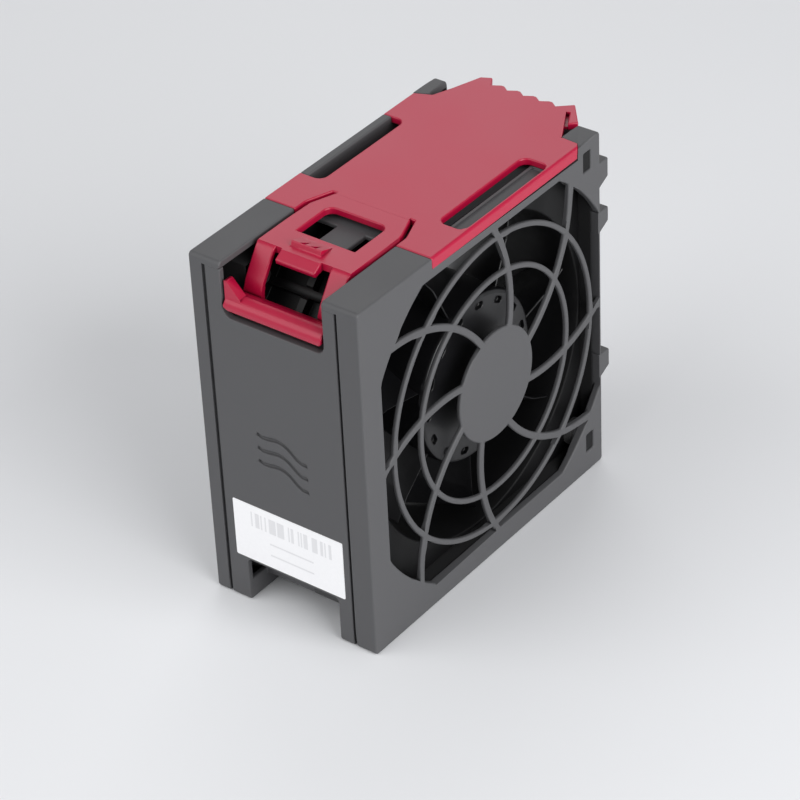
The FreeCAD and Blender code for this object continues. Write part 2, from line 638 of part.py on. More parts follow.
def exhaust_cover():
    """Side moulding on the exhaust side, with its grille and a top plate."""
    shell = side_shell(EXHAUST, EXHAUST_INSIDE, EXHAUST_SEAM)
    plate = top_plate(EXHAUST_SEAM - 1, -NOTCH_LEFT)
    posts = [round_bar(EXHAUST_INSIDE - EPS, FAN_BACK - EXHAUST_PAD, ISOLATOR_RADIUS, y, z)
             for y, z in isolator_places()]
    shape = fused([shell, grille(EXHAUST, EXHAUST + GRILLE_DEPTH), plate] + posts)
    rail_space = block(EXHAUST - 1, EXHAUST + EXHAUST_RAIL, SIDE_SLOT_FRONT, SIDE_SLOT_REAR, COVER_SEAT - 1,
                       CASING_HEIGHT + 1)
    return cut_all(shape, [cover_bed().cut(rail_space), rear_gap()])


def rail_profile():
    """The hat section that makes the foot rails, the channel between them and the chamber floor."""
    return [(EXHAUST_SEAM, 0, 0), (-CHANNEL_LEFT, 0, 0), (-CHANNEL_LEFT, CHANNEL_HEIGHT, 0),
            (CHANNEL_RIGHT, CHANNEL_HEIGHT, 0), (CHANNEL_RIGHT, 0, 0), (INTAKE_SEAM, 0, 0),
            (INTAKE_SEAM, FOOT_WALL, 0), (CHANNEL_RIGHT + FOOT_WALL, FOOT_WALL, 0),
            (CHANNEL_RIGHT + FOOT_WALL, CHAMBER_FLOOR, 0), (-CHANNEL_LEFT - FOOT_WALL, CHAMBER_FLOOR, 0),
            (-CHANNEL_LEFT - FOOT_WALL, FOOT_WALL, 0), (EXHAUST_SEAM, FOOT_WALL, 0)]


def wave_groove(z):
    """One engraved line of the airflow mark: a crest between two troughs."""
    width = WAVE_RIGHT - WAVE_LEFT
    points = [Vector(WAVE_LEFT + width * u, FRONT, z + drop) for u, drop in WAVE_PATH]
    curve = Part.BSplineCurve()
    curve.interpolate(points)
    upper, lower = [], []
    steps = 10
    for i in range(steps + 1):
        at = curve.FirstParameter + (curve.LastParameter - curve.FirstParameter) * i / steps
        point, along = curve.value(at), curve.tangent(at)[0]
        across = Vector(-along.z, 0, along.x)
        upper.append(point + across * (WAVE_STROKE / 2))
        lower.append(point - across * (WAVE_STROKE / 2))
    wire = Part.makePolygon(upper + lower[::-1] + upper[:1])
    return Part.Face(wire).extrude(Vector(0, WAVE_DEPTH, 0))


def middle_frame():
    """Middle moulding: label face, chamber walls, roof, foot rails and the finger recess."""
    seam0, seam1 = EXHAUST_SEAM, INTAKE_SEAM
    notch0, notch1 = -NOTCH_LEFT - RECESS_WALL, NOTCH_RIGHT + RECESS_WALL
    channel0, channel1 = -CHANNEL_LEFT - FOOT_WALL, CHANNEL_RIGHT + FOOT_WALL
    shape = fused([
        block(seam0, seam1, FRONT, FRONT + FRONT_WALL, 0, COVER_SEAT),
        block(seam0, seam1, CHAMBER_REAR, BACK, 0, COVER_SEAT),
        prism(rail_profile(), "Y", FRONT, BACK),
        block(seam0, seam1, INNER_WALL_FRONT, CHAMBER_FRONT, CHANNEL_HEIGHT, RECESS_FLOOR),
        block(notch0, notch1, FRONT, CHAMBER_FRONT, RECESS_FLOOR - RECESS_WALL, RECESS_FLOOR),
        block(-ROOF_LEFT, ROOF_RIGHT, ROOF_FRONT, BACK - REAR_WALL, ROOF_BOTTOM, ROOF_TOP),
        block(STRAP_LEFT, STRAP_RIGHT, STRAP_FRONT, ROOF_FRONT + 1, ROOF_BOTTOM, ROOF_TOP),
        block(notch0, notch1, STRAP_FRONT, STRAP_FRONT + CROSS_BAR, ROOF_BOTTOM, ROOF_TOP),
        block(notch0, -NOTCH_LEFT, STRAP_FRONT, ROOF_FRONT + 1, ROOF_BOTTOM, COVER_SEAT),
        block(NOTCH_RIGHT, notch1, STRAP_FRONT, ROOF_FRONT + 1, ROOF_BOTTOM, COVER_SEAT),
        block(channel0, channel1, FRONT, CHAMBER_FRONT, CUTOUT_HEIGHT, CUTOUT_HEIGHT + FOOT_WALL)])
    notch = prism(rectangle(-NOTCH_LEFT, NOTCH_RIGHT, NOTCH_FLOOR, CASING_HEIGHT + 5, NOTCH_CORNER), "Y",
                  FRONT - 1, FRONT + FRONT_WALL + EPS)
    cutout = prism(rectangle(-CHANNEL_LEFT, CHANNEL_RIGHT, -5, CUTOUT_HEIGHT, CUTOUT_CORNER), "Y", FRONT - 1,
                   INNER_WALL_FRONT)
    plug_hole = block(PLUG_X - PLUG_LENGTH / 2, PLUG_X + PLUG_LENGTH / 2, plug_front(),
                      plug_front() + PLUG_WIDTH, CUTOUT_HEIGHT - 1, CUTOUT_HEIGHT + FOOT_WALL + 1)
    wire_slot = block(FAN_BACK + WIRE_SLOT_INSET, FAN_BACK + STRUT_DEPTH,
                      INNER_WALL_FRONT - 1, CHAMBER_FRONT + 1,
                      AXIS_HEIGHT - CABLE_STRUT_WIDTH / 2, AXIS_HEIGHT + CABLE_STRUT_WIDTH / 2)
    channel_end = block(-CHANNEL_LEFT, CHANNEL_RIGHT, CHAMBER_REAR - 1, BACK + 1, -1, CHANNEL_HEIGHT)
    waves = [wave_groove(WAVE_TOP - i * WAVE_PITCH) for i in range(WAVES)]
    grooves = [seam_groove(seam0), seam_groove(seam1)]
    openings = [notch, cutout, plug_hole, wire_slot, channel_end, rear_gap()]
    shape = cut_all(shape, openings + waves + grooves)
    return shape.common(casing_body(seam0, seam1))


def label_sticker():
    """Bare paper label on the front face."""
    corners = rectangle(LABEL_LEFT, LABEL_RIGHT, LABEL_BOTTOM, LABEL_TOP, LABEL_CORNER)
    return prism(corners, "Y", FRONT - LABEL_THICKNESS, FRONT)


# ---------------------------------------------------------------- top cover and release latch

def tongue_outline(front, play, root_play):
    """Outline of the tongue from a front line to the bending line, or of the space round it."""
    half, root_half = LATCH_HALF + play, LATCH_ROOT_HALF + play
    root, shoulder = LATCH_HINGE_Y + root_play, LATCH_HINGE_Y - LATCH_TAPER_LENGTH
    left, right = LATCH_CENTRE - half, LATCH_CENTRE + half
    return [(left, front, 0), (left, shoulder, LATCH_TAPER_ROUND),
            (LATCH_CENTRE - root_half, root, LATCH_ROOT_ROUND),
            (LATCH_CENTRE + root_half, root, LATCH_ROOT_ROUND),
            (right, shoulder, LATCH_TAPER_ROUND), (right, front, 0)]


def grip_edge():
    """The serrated rear edge of the top cover between its two horns, and the tab beside the right one."""
    horn, crest = BACK + GRIP_HORN, BACK + GRIP_REACH
    points = [(-GRIP_LEFT - HORN_BASE, horn - HORN_SLOPE, 0), (-GRIP_LEFT, horn, 0)]
    pitch = (GRIP_LEFT + GRIP_RIGHT) / (GRIP_TEETH + 1)
    for i in range(GRIP_TEETH + 1):
        start = -GRIP_LEFT + pitch * i
        points.append((start + GRIP_VALLEY * pitch, crest - GRIP_TOOTH_DEPTH, 0))
        if i < GRIP_TEETH:
            points += [(start + share * pitch, crest, 0) for share in GRIP_CREST]
    points.append((GRIP_RIGHT + RIGHT_HORN_TIP, horn, 0))
    points += [(x, BACK + y, 0) for x, y in (GRIP_TAB_END, GRIP_TAB, GRIP_SLIT)]
    points.append((GRIP_SLIT[0] - GRIP_SLIT_WIDTH, BACK + GRIP_SLIT[1], 0))
    return points


def cover_outline():
    """Outline of the top cover's plate, seen from above."""
    left = [(EXHAUST, COVER_FRONT, 0), (EXHAUST, COVER_SKIRT_END, COVER_CORNER),
            (COVER_REAR_LEFT, COVER_CORNER_Y, COVER_CORNER),
            (COVER_REAR_LEFT + GRIP_FLARE_X, COVER_CORNER_Y + GRIP_FLARE_Y, 0)]
    right = [(COVER_REAR_RIGHT, COVER_CORNER_Y, COVER_CORNER),
             (INTAKE - COVER_CHAMFER, COVER_CORNER_Y - COVER_SLOPE, COVER_CORNER / 2),
             (INTAKE, COVER_SKIRT_END, 0), (INTAKE, COVER_FRONT, 0)]
    return left + grip_edge() + right


def cover_bed():
    """The space that the top cover's plate takes from the side covers, with its play."""
    face = Part.Face(outline(cover_outline(), on_plane("Z", COVER_SEAT)))
    grown = face.makeOffset2D(COVER_PLAY, 2)
    return grown.extrude(Vector(0, 0, TOP_WALL + 1))


def side_slots():
    """The two long slots beside the cover's plate."""
    low, high = COVER_SEAT - 1, CASING_HEIGHT + 1
    left = rectangle(EXHAUST - 5, -SIDE_SLOT_LEFT, SIDE_SLOT_FRONT, SIDE_SLOT_REAR, SIDE_SLOT_CORNER)
    right = rectangle(SIDE_SLOT_RIGHT, INTAKE - SKIRT_THICKNESS, SIDE_SLOT_FRONT, RIGHT_SLOT_REAR,
                      SIDE_SLOT_CORNER)
    return [prism(left, "Z", low, high), prism(right, "Z", low, high)]


def top_cover():
    """The cover over the casing's open top, with skirt, side slots and the serrated grip."""
    plate = prism(cover_outline(), "Z", COVER_SEAT, CASING_HEIGHT)
    skirt = block(INTAKE - SKIRT_THICKNESS, INTAKE, COVER_FRONT, COVER_SKIRT_END, SKIRT_BOTTOM,
                  COVER_SEAT + 1)
    rib_front = SIDE_SLOT_FRONT + COVER_RIB_INSET
    ribs = [block(x, x + COVER_RIB, rib_front, COVER_SKIRT_END, ROOF_TOP, COVER_SEAT + 1)
            for x in (COVER_RIB_LEFT, COVER_RIB_RIGHT)]
    tongue = tongue_outline(COVER_FRONT - 5, LATCH_SLOT, LATCH_GAP / 2)
    tongue_space = prism(tongue, "Z", COVER_SEAT - 1, CASING_HEIGHT + 1)
    shape = cut_all(fused([plate, skirt] + ribs), side_slots() + [tongue_space])
    folds = [e for e in shape.Edges if min(e.BoundBox.XMin - INTAKE, e.BoundBox.ZMin - CASING_HEIGHT) > -1e-4]
    return shape.makeFillet(COVER_EDGE, folds)


def latch_plate():
    """The flat tongue with its window, up to the bridge in front of the window."""
    corners = tongue_outline(LATCH_BRIDGE_FRONT, 0, -LATCH_GAP / 2)
    plate = prism(corners, "Z", CASING_HEIGHT - LATCH_PLATE, CASING_HEIGHT)
    window = prism([(LATCH_CENTRE - LATCH_WINDOW_HALF, LATCH_WINDOW_FRONT, 0),
                    (LATCH_CENTRE - LATCH_WINDOW_HALF, LATCH_WINDOW_REAR, LATCH_WINDOW_CORNER),
                    (LATCH_CENTRE + LATCH_WINDOW_HALF, LATCH_WINDOW_REAR, LATCH_WINDOW_CORNER),
                    (LATCH_CENTRE + LATCH_WINDOW_HALF, LATCH_WINDOW_FRONT, 0)], "Z", COVER_SEAT - 1,
                   CASING_HEIGHT + 1)
    return plate.cut(window)


def latch_leg(x0, x1):
    """A leg that slants from the tongue down to the finger bar and ends upright behind it."""
    top, under, low = CASING_HEIGHT, CASING_HEIGHT - LATCH_PLATE, BAR_BOTTOM + LEG_FOOT
    front, back = LATCH_LEG_FRONT, LATCH_LEG_FRONT + LATCH_LEG
    slope, lean = math.tan(math.radians(LEG_SLANT)), math.cos(math.radians(LEG_SLANT))
    knee = BAR_TOP - LEG_KNEE_DROP
    bend = front + (top - knee) * slope
    inner_knee = knee - LATCH_LEG * (1 / lean - 1) / slope
    inner_bend = back + (under - inner_knee) * slope
    root = LATCH_BRIDGE_FRONT + LEG_ROOT
    outer = [(root, top, 0), (bend, top, LEG_BEND), (front, knee, LEG_KNEE), (front, low, 0)]
    inner = [(back, low, 0), (back, inner_knee, LEG_KNEE - LATCH_LEG), (inner_bend, under, LEG_INNER_BEND),
             (root, under, 0)]
    return prism(outer + inner, "X", x0, x1)


def finger_bar():
    """The finger bar: a D section across the notch, with a horn drawn up on its left end."""
    left, right = -NOTCH_LEFT + BAR_SIDE_PLAY, NOTCH_RIGHT - BAR_SIDE_PLAY
    section = [(BAR_BACK, BAR_BOTTOM, BAR_ROUNDS[0]), (BAR_BACK, BAR_TOP - BAR_REAR_FALL, BAR_ROUNDS[1]),
               (BAR_BACK - BAR_CREST, BAR_TOP, BAR_ROUNDS[2]),
               (BAR_FRONT, BAR_TOP - BAR_FRONT_FALL, BAR_ROUNDS[3]), (BAR_FRONT, BAR_BOTTOM, BAR_ROUNDS[4])]
    bar = prism(section, "X", left, right)
    root = BAR_BOTTOM + BAR_HEIGHT / 2
    outer = [(left, root, 0), (left + HORN_WIDTH, root, 0), (left + HORN_WIDTH, BAR_TOP - HORN_SINK, 0),
             (left + HORN_TIP, HORN_TOP, HORN_TIP / 3), (left, HORN_TOP, 0)]
    horn_front = BAR_FRONT + HORN_SETBACK
    horn = prism(outer, "Y", horn_front, horn_front + HORN_THICKNESS)
    ends = prism(rectangle(left, right, BAR_BOTTOM, HORN_TOP + 5, NOTCH_CORNER - BAR_SIDE_PLAY), "Y",
                 BAR_FRONT - 1, BAR_BACK + 1)
    return fused([bar, horn]).common(ends)


def release_latch():
    """Tongue, pad, lip, legs and finger bar: the sprung part of the red moulding."""
    left, right = LATCH_CENTRE - LATCH_HALF, LATCH_CENTRE + LATCH_HALF
    leg_left = latch_leg(left, left + LATCH_LEG_WIDTH)
    leg_right = latch_leg(right - LATCH_LEG_WIDTH, right)
    top, bridge = CASING_HEIGHT, LATCH_BRIDGE_FRONT
    pad_front = FRONT + PAD_SETBACK
    wedge = [(pad_front + PAD_LENGTH, top - 1, 0), (pad_front + PAD_LENGTH, top, 0),
             (pad_front + PAD_LEAN, top + PAD_RISE, PAD_EDGE), (pad_front, top, 0), (pad_front, top - 1, 0)]
    pad = prism(wedge, "X", PAD_LEFT, PAD_RIGHT)
    lip_front, lip_top = bridge - LIP_REACH, top - LIP_DROP
    slope = [(bridge + 1, top - LATCH_PLATE, 0), (bridge + 1, top, 0), (bridge - LIP_FLAT, top, LIP_ROUND),
             (lip_front, lip_top, LIP_ROUND), (lip_front + LIP_ROUND, lip_top - LIP_EDGE, LIP_ROUND)]
    lip = prism(slope, "X", LIP_LEFT, LIP_RIGHT)
    return fused([latch_plate(), leg_left, leg_right, pad, lip, finger_bar()])


# ---------------------------------------------------------------- fan frame

def duct_bore():
    """The air passage: a straight throat and a mouth that flares towards the intake."""
    flare = [(FAN_FACE - INLET_FLARE * (1 - along), DUCT_RADIUS + (INLET_RADIUS - DUCT_RADIUS) * out)
             for along, out in INLET_STEPS]
    return turned([(FAN_BACK - 1, 0), (FAN_BACK - 1, DUCT_RADIUS)] + flare
                  + [(FAN_FACE + 1, INLET_RADIUS), (FAN_FACE + 1, 0)])


def corner_web(angle):
    """The slanted web across one corner between the flanges, stiffened by a crossed rib."""
    x0, x1 = FAN_BACK + FLANGE_THICKNESS - EPS, FAN_FACE - FLANGE_THICKNESS + EPS
    half = FAN_HALF * math.sqrt(2) - CORNER_WEB_DISTANCE - CORNER_WEB
    z = AXIS_HEIGHT + CORNER_WEB_DISTANCE
    web = block(x0, x1, -half, half, z - CORNER_WEB, z)
    thin = CORNER_RIB_WIDTH / 2
    along = block(x0, x1, -thin, thin, z - EPS, z + CORNER_RIB)
    across = block(CORNER_RIB_X - thin, CORNER_RIB_X + thin, -half, half, z - EPS, z + CORNER_RIB)
    return spun(fused([web, along, across]), angle)


def fan_frame():
    """Fan housing: two flanges, flared duct, corner webs, struts and the motor base."""
    x0, x1 = FAN_BACK, FAN_FACE
    square = rectangle(-FAN_HALF, FAN_HALF, AXIS_HEIGHT - FAN_HALF, AXIS_HEIGHT + FAN_HALF, FAN_CORNER)
    flanges = [prism(square, "X", x0, x0 + FLANGE_THICKNESS), prism(square, "X", x1 - FLANGE_THICKNESS, x1)]
    duct = round_bar(x0, x1, DUCT_RADIUS + DUCT_WALL)
    webs = [corner_web(45 + 90 * i) for i in range(4)]
    shell = fused(flanges + [duct] + webs).common(prism(square, "X", x0, x1)).cut(duct_bore())
    base = round_bar(x0, BASE_FRONT, HUB_RADIUS)
    rim = tube(x0, x0 + BASE_RIM_HEIGHT, HUB_RADIUS, HUB_RADIUS - BASE_RIM)
    boss = round_bar(x0, BASE_FRONT + BOSS_RISE, TUBE_RADIUS + BOSS_WALL)
    half, cable_half = STRUT_WIDTH / 2, CABLE_STRUT_WIDTH / 2
    strut = block(x0, x0 + STRUT_DEPTH, HUB_RADIUS - 1, DUCT_RADIUS + 1,
                  AXIS_HEIGHT - half, AXIS_HEIGHT + half)
    struts = [spun(strut, i * 360 / STRUTS) for i in range(STRUTS) if i != STRUTS // 2]
    cable_strut = block(x0, x0 + STRUT_DEPTH, -DUCT_RADIUS - 1, -HUB_RADIUS + 1,
                        AXIS_HEIGHT - cable_half, AXIS_HEIGHT + cable_half)
    shape = fused([shell, base, rim, boss, cable_strut] + struts)
    trough_half = cable_half - CABLE_TROUGH_WALL
    trough = block(wire_level() - WIRE_RADIUS - WIRE_PLAY, x0 + STRUT_DEPTH + 1,
                   -FAN_HALF - 1, -BOARD_RADIUS + WIRE_START + 1,
                   AXIS_HEIGHT - trough_half, AXIS_HEIGHT + trough_half)
    holes = [round_bar(x0 - 1, x1 + 1, FAN_HOLE_RADIUS, y, z) for y, z in isolator_places()]
    bore = round_bar(x0 + TUBE_SETBACK, BASE_FRONT + BOSS_RISE + 1, TUBE_RADIUS)
    return cut_all(shape, [trough, bore] + holes)


# ---------------------------------------------------------------- rotor

def balance_holes():
    """Oval balance pockets in the hub's face."""
    straight = BALANCE_HOLE_LENGTH - BALANCE_HOLE_WIDTH
    radius = BALANCE_HOLE_WIDTH / 2
    y = BALANCE_HOLE_RADIUS
    x0, x1 = HUB_FRONT - BALANCE_HOLE_DEPTH, HUB_FRONT + 1
    z0, z1 = AXIS_HEIGHT - straight / 2 - radius, AXIS_HEIGHT + straight / 2 + radius
    pocket = prism(rectangle(y - radius, y + radius, z0, z1, radius - EPS), "X", x0, x1)
    return [spun(pocket, BALANCE_HOLE_START + i * 360 / BALANCE_HOLES) for i in range(BALANCE_HOLES)]


def blade_section(radius):
    """One blade section on the tangent plane at a radius: a curved, tapered strip."""
    share = (radius - HUB_RADIUS) / (BLADE_TIP - HUB_RADIUS)
    sweep = math.radians(BLADE_SWEEP) * HUB_RADIUS * (1 + BLADE_SPREAD * share)
    skew = math.radians(BLADE_SKEW) * share * radius
    front = HUB_FRONT - BLADE_SETBACK
    rear = front - BLADE_CHORD_DEPTH * (1 - BLADE_TIP_SHORT * share)
    lead, trail = Vector(front, -sweep / 2 - skew, 0), Vector(rear, sweep / 2 - skew, 0)
    chord = trail - lead
    bow = Vector(-chord.y, chord.x, 0)
    bow.normalize()
    middle = (lead + trail) * 0.5 + bow * (chord.Length * BLADE_CAMBER)
    half = bow * (BLADE_THICKNESS / 2)
    end = bow * (BLADE_EDGE / 2)
    points = [lead + end, middle + half, trail + end, trail - end, middle - half, lead - end]
    a, b, c, d, e, f = [Vector(p.x, p.y, AXIS_HEIGHT + radius) for p in points]
    return Part.Wire([Part.Arc(a, b, c).toShape(), Part.makeLine(c, d),
                      Part.Arc(d, e, f).toShape(), Part.makeLine(f, a)])


def impeller():
    """Hub cup with balance pockets, and the swept blades."""
    radii = (HUB_RADIUS - BLADE_OVERRUN, (HUB_RADIUS + BLADE_TIP) / 2, BLADE_TIP + BLADE_OVERRUN)
    sections = [blade_section(r) for r in radii]
    blade = Part.makeLoft(sections, True, True)
    blade = blade.common(tube(HUB_REAR - 5, HUB_FRONT + 5, BLADE_TIP, HUB_RADIUS - HUB_WALL / 2))
    cup = turned([(HUB_FRONT, 0), (HUB_FRONT, HUB_RADIUS - HUB_EDGE),
                  (HUB_FRONT - 0.3 * HUB_EDGE, HUB_RADIUS - 0.3 * HUB_EDGE),
                  (HUB_FRONT - HUB_EDGE, HUB_RADIUS), (HUB_REAR, HUB_RADIUS), (HUB_REAR, YOKE_RADIUS),
                  (YOKE_FACE, YOKE_RADIUS), (YOKE_FACE, 0)])
    shape = fused([cup] + [spun(blade, i * 360 / BLADES) for i in range(BLADES)])
    return cut_all(shape, balance_holes())


def rotor_yoke():
    """Steel cup pressed into the hub; it carries the magnet and closes its field."""
    return turned([(YOKE_FACE, BUSH_RADIUS), (YOKE_FACE, YOKE_RADIUS), (YOKE_REAR, YOKE_RADIUS),
                   (YOKE_REAR, MAGNET_OUTER), (BUSH_FRONT, MAGNET_OUTER), (BUSH_FRONT, BUSH_RADIUS)])


def ring_magnet():
    """Bonded ring magnet inside the yoke."""
    rear = YOKE_REAR + MAGNET_SETBACK
    return tube(rear, rear + MAGNET_LENGTH, MAGNET_OUTER, MAGNET_INNER)


def rotor_bush():
    """Brass bush between yoke and shaft, with a collar behind the yoke's face."""
    collar = BUSH_RADIUS + COLLAR_WIDTH
    collar_rear = BUSH_FRONT - COLLAR_THICKNESS
    return turned([(YOKE_FACE, SHAFT_RADIUS), (YOKE_FACE, BUSH_RADIUS), (BUSH_FRONT, BUSH_RADIUS),
                   (BUSH_FRONT, collar), (collar_rear, collar), (collar_rear, BUSH_RADIUS),
                   (BUSH_REAR, BUSH_RADIUS), (BUSH_REAR, SHAFT_RADIUS)])


def shaft():
    """Ground steel shaft with the groove for the retaining clip."""
    tail = REAR_BEARING_X - SHAFT_TAIL
    groove = REAR_BEARING_X - CLIP_THICKNESS
    return turned([(YOKE_FACE, 0), (YOKE_FACE, SHAFT_RADIUS), (REAR_BEARING_X, SHAFT_RADIUS),
                   (REAR_BEARING_X, SHAFT_RADIUS - CLIP_GROOVE), (groove, SHAFT_RADIUS - CLIP_GROOVE),
                   (groove, SHAFT_RADIUS), (tail + SHAFT_CHAMFER, SHAFT_RADIUS),
                   (tail, SHAFT_RADIUS - SHAFT_CHAMFER), (tail, 0)])


def retaining_clip():
    """Spring clip in the shaft's groove, behind the rear bearing."""
    ring = tube(REAR_BEARING_X - CLIP_THICKNESS, REAR_BEARING_X, CLIP_RADIUS, SHAFT_RADIUS - CLIP_GROOVE)
    mouth = block(REAR_BEARING_X - 1, REAR_BEARING_X + 1, -CLIP_MOUTH / 2, CLIP_MOUTH / 2,
                  AXIS_HEIGHT, AXIS_HEIGHT + CLIP_RADIUS + 1)
    return ring.cut(mouth)


def preload_spring():
    """Conical spring washer between the bush and the front bearing's inner ring."""
    x0, x1 = FRONT_BEARING_FACE, BUSH_REAR
    inner, outer = SHAFT_RADIUS + SPRING_PLAY, SHAFT_RADIUS + BEARING_RING
    return turned([(x0, outer - SPRING_WALL), (x0, outer), (x1, inner + SPRING_WALL), (x1, inner)])


# ---------------------------------------------------------------- bearings

def outer_ring(x):
    """Fixed outer ring of a ball bearing, with the two shields that close it."""
    race = BEARING_RADIUS - BEARING_RING
    shield = SHAFT_RADIUS + BEARING_RING + SHIELD_PLAY
    x0, x1 = x, x + BEARING_WIDTH
    return turned([(x0, BEARING_RADIUS), (x1, BEARING_RADIUS), (x1, shield), (x1 - BEARING_SHIELD, shield),
                   (x1 - BEARING_SHIELD, race), (x0 + BEARING_SHIELD, race), (x0 + BEARING_SHIELD, shield),
                   (x0, shield)])


def inner_ring(x):
    """Inner ring of a ball bearing, pressed on the shaft."""
    return tube(x, x + BEARING_WIDTH, SHAFT_RADIUS + BEARING_RING, SHAFT_RADIUS)


def bearing_tube():
    """Brass sleeve in the motor base; its shoulder keeps the two bearings apart."""
    x0, x1 = FAN_BACK + TUBE_SETBACK, FRONT_BEARING_FACE + TUBE_RIM
    seat, shoulder = BEARING_RADIUS, BEARING_RADIUS - BEARING_TUBE_SHOULDER
    return turned([(x0, TUBE_RADIUS), (x1, TUBE_RADIUS), (x1, seat), (FRONT_BEARING_X, seat),
                   (FRONT_BEARING_X, shoulder), (REAR_BEARING_FACE, shoulder), (REAR_BEARING_FACE, seat),
                   (x0, seat)])


# ---------------------------------------------------------------- stator and board

def pole_outline(x0, x1, shoe_inset):
    """A four-pole star: ring round the bearing tube, stems and curved shoes."""
    inner = TUBE_RADIUS
    parts = [tube(x0, x1, inner + CORE_YOKE, inner)]
    shoe_inner = CORE_RADIUS - POLE_SHOE
    shoe = tube(x0, x1, CORE_RADIUS - shoe_inset, shoe_inner)
    gap = block(x0 - 1, x1 + 1, 0, CORE_RADIUS + 2, AXIS_HEIGHT - POLE_GAP / 2, AXIS_HEIGHT + POLE_GAP / 2)
    gaps = [spun(gap, 45 + i * 360 / POLES) for i in range(POLES)]
    parts.append(cut_all(shoe, gaps))
    half = POLE_STEM / 2
    bar = block(x0, x1, inner + CORE_YOKE / 2, shoe_inner + POLE_SHOE / 4,
                AXIS_HEIGHT - half, AXIS_HEIGHT + half)
    parts += [spun(bar, i * 360 / POLES) for i in range(POLES)]
    return fused(parts)


def stator_core():
    """Laminated core."""
    return pole_outline(CORE_X, CORE_X + CORE_LENGTH, 0)


def stator_insulator(x0):
    """Winding former on one end of the core."""
    return pole_outline(x0, x0 + INSULATOR, INSULATOR_INSET)


def stator_coils():
    """Four windings, one round each pole."""
    x0, x1 = CORE_X - INSULATOR, CORE_X + CORE_LENGTH + INSULATOR
    half = POLE_STEM / 2
    t = COIL_THICKNESS
    outer = rectangle(x0 - t, x1 + t, AXIS_HEIGHT - half - t, AXIS_HEIGHT + half + t, t)
    inner = rectangle(x0, x1, AXIS_HEIGHT - half, AXIS_HEIGHT + half, 0)
    coil = prism(outer, "Y", COIL_INNER, COIL_OUTER).cut(prism(inner, "Y", COIL_INNER - 1, COIL_OUTER + 1))
    return Part.makeCompound([spun(coil, i * 360 / POLES) for i in range(POLES)])


def circuit_board():
    """Round driver board behind the stator."""
    return tube(BOARD_X, BOARD_X + BOARD_THICKNESS, BOARD_RADIUS, TUBE_RADIUS + BOARD_PLAY)


def drive_chip():
    """Motor driver, a small flat package on the board's exhaust side."""
    length, width, height = CHIP_SIZE
    y, z = CHIP_PLACE
    return block(BOARD_X - height, BOARD_X, y, y + length, AXIS_HEIGHT + z, AXIS_HEIGHT + z + width)


def hall_sensor():
    """Position sensor on the board's stator side, between two poles."""
    x0 = BOARD_X + BOARD_THICKNESS
    depth, width, height = SENSOR_SIZE
    outer = CORE_RADIUS + SENSOR_PAST_CORE
    body = block(x0, x0 + height, outer - depth, outer, AXIS_HEIGHT - width / 2, AXIS_HEIGHT + width / 2)
    return spun(body, 180 / POLES)


# ---------------------------------------------------------------- wires and plug

def wire_level():
    """X of the wires in the strut's trough."""
    return FAN_BACK + WIRE_RISE


def plug_front():
    """Front side of the plug, centred between front wall and chamber wall."""
    return FRONT + FRONT_WALL + (INNER_WALL_GAP - PLUG_WIDTH) / 2


def wire_route(i):
    """Corner points of one lead wire, from the board along the strut and down to the plug."""
    offset = (i - (WIRES - 1) / 2) * WIRE_PITCH
    y_down = plug_front() + PLUG_WIDTH / 2
    x0 = wire_level()
    z0 = AXIS_HEIGHT + offset
    x2 = PLUG_X + offset
    top = CUTOUT_HEIGHT + FOOT_WALL + PLUG_STEP
    y_up = -BOARD_RADIUS + WIRE_START
    return [Vector(BOARD_X, y_up, z0), Vector(x0, y_up, z0), Vector(x0, y_down, z0),
            Vector(x2, y_down, top + WIRE_SPREAD), Vector(x2, y_down, top)]


def bent_wire(points):
    """A round wire along straight runs, its bends chamfered."""
    path = [points[0]]
    for before, here, after in zip(points, points[1:], points[2:]):
        path.append(here + (before - here).normalize() * WIRE_BEND)
        path.append(here + (after - here).normalize() * WIRE_BEND)
    path.append(points[-1])
    ring = Part.Wire(Part.makeCircle(WIRE_RADIUS, points[0], points[1] - points[0]))
    return Part.makePolygon(path).makePipeShell([ring], True, False, 1)


def lead_wires():
    """The four lead wires."""
    return Part.makeCompound([bent_wire(wire_route(i)) for i in range(WIRES)])


def contact_places():
    """X of each contact in the plug."""
    return [PLUG_X + (i - (WIRES - 1) / 2) * WIRE_PITCH for i in range(WIRES)]


def connector_housing():
    """Blind-mate plug body that hangs in the bottom cut-out, open downwards."""
    x0, x1 = PLUG_X - PLUG_LENGTH / 2, PLUG_X + PLUG_LENGTH / 2
    y0, y1 = plug_front(), plug_front() + PLUG_WIDTH
    top = CUTOUT_HEIGHT + FOOT_WALL + PLUG_STEP
    body = block(x0, x1, y0, y1, PLUG_BOTTOM, top)
    mouth = block(x0 + PLUG_WALL, x1 - PLUG_WALL, y0 + PLUG_WALL, y1 - PLUG_WALL, PLUG_BOTTOM - 1,
                  PLUG_BOTTOM + PLUG_MOUTH)
    middle = (y0 + y1) / 2
    half = CONTACT / 2
    slots = [block(x - half, x + half, middle - half, middle + half, PLUG_BOTTOM, top + 1)
             for x in contact_places()]
    return cut_all(body, [mouth] + slots)


def connector_contacts():
    """Square contact pins of the plug."""
    middle = plug_front() + PLUG_WIDTH / 2
    half = CONTACT / 2
    top = CUTOUT_HEIGHT + FOOT_WALL + PLUG_STEP
    low = PLUG_BOTTOM + CONTACT_SETBACK
    pins = [block(x - half, x + half, middle - half, middle + half, low, top) for x in contact_places()]
    return Part.makeCompound(pins)


# ---------------------------------------------------------------- isolators

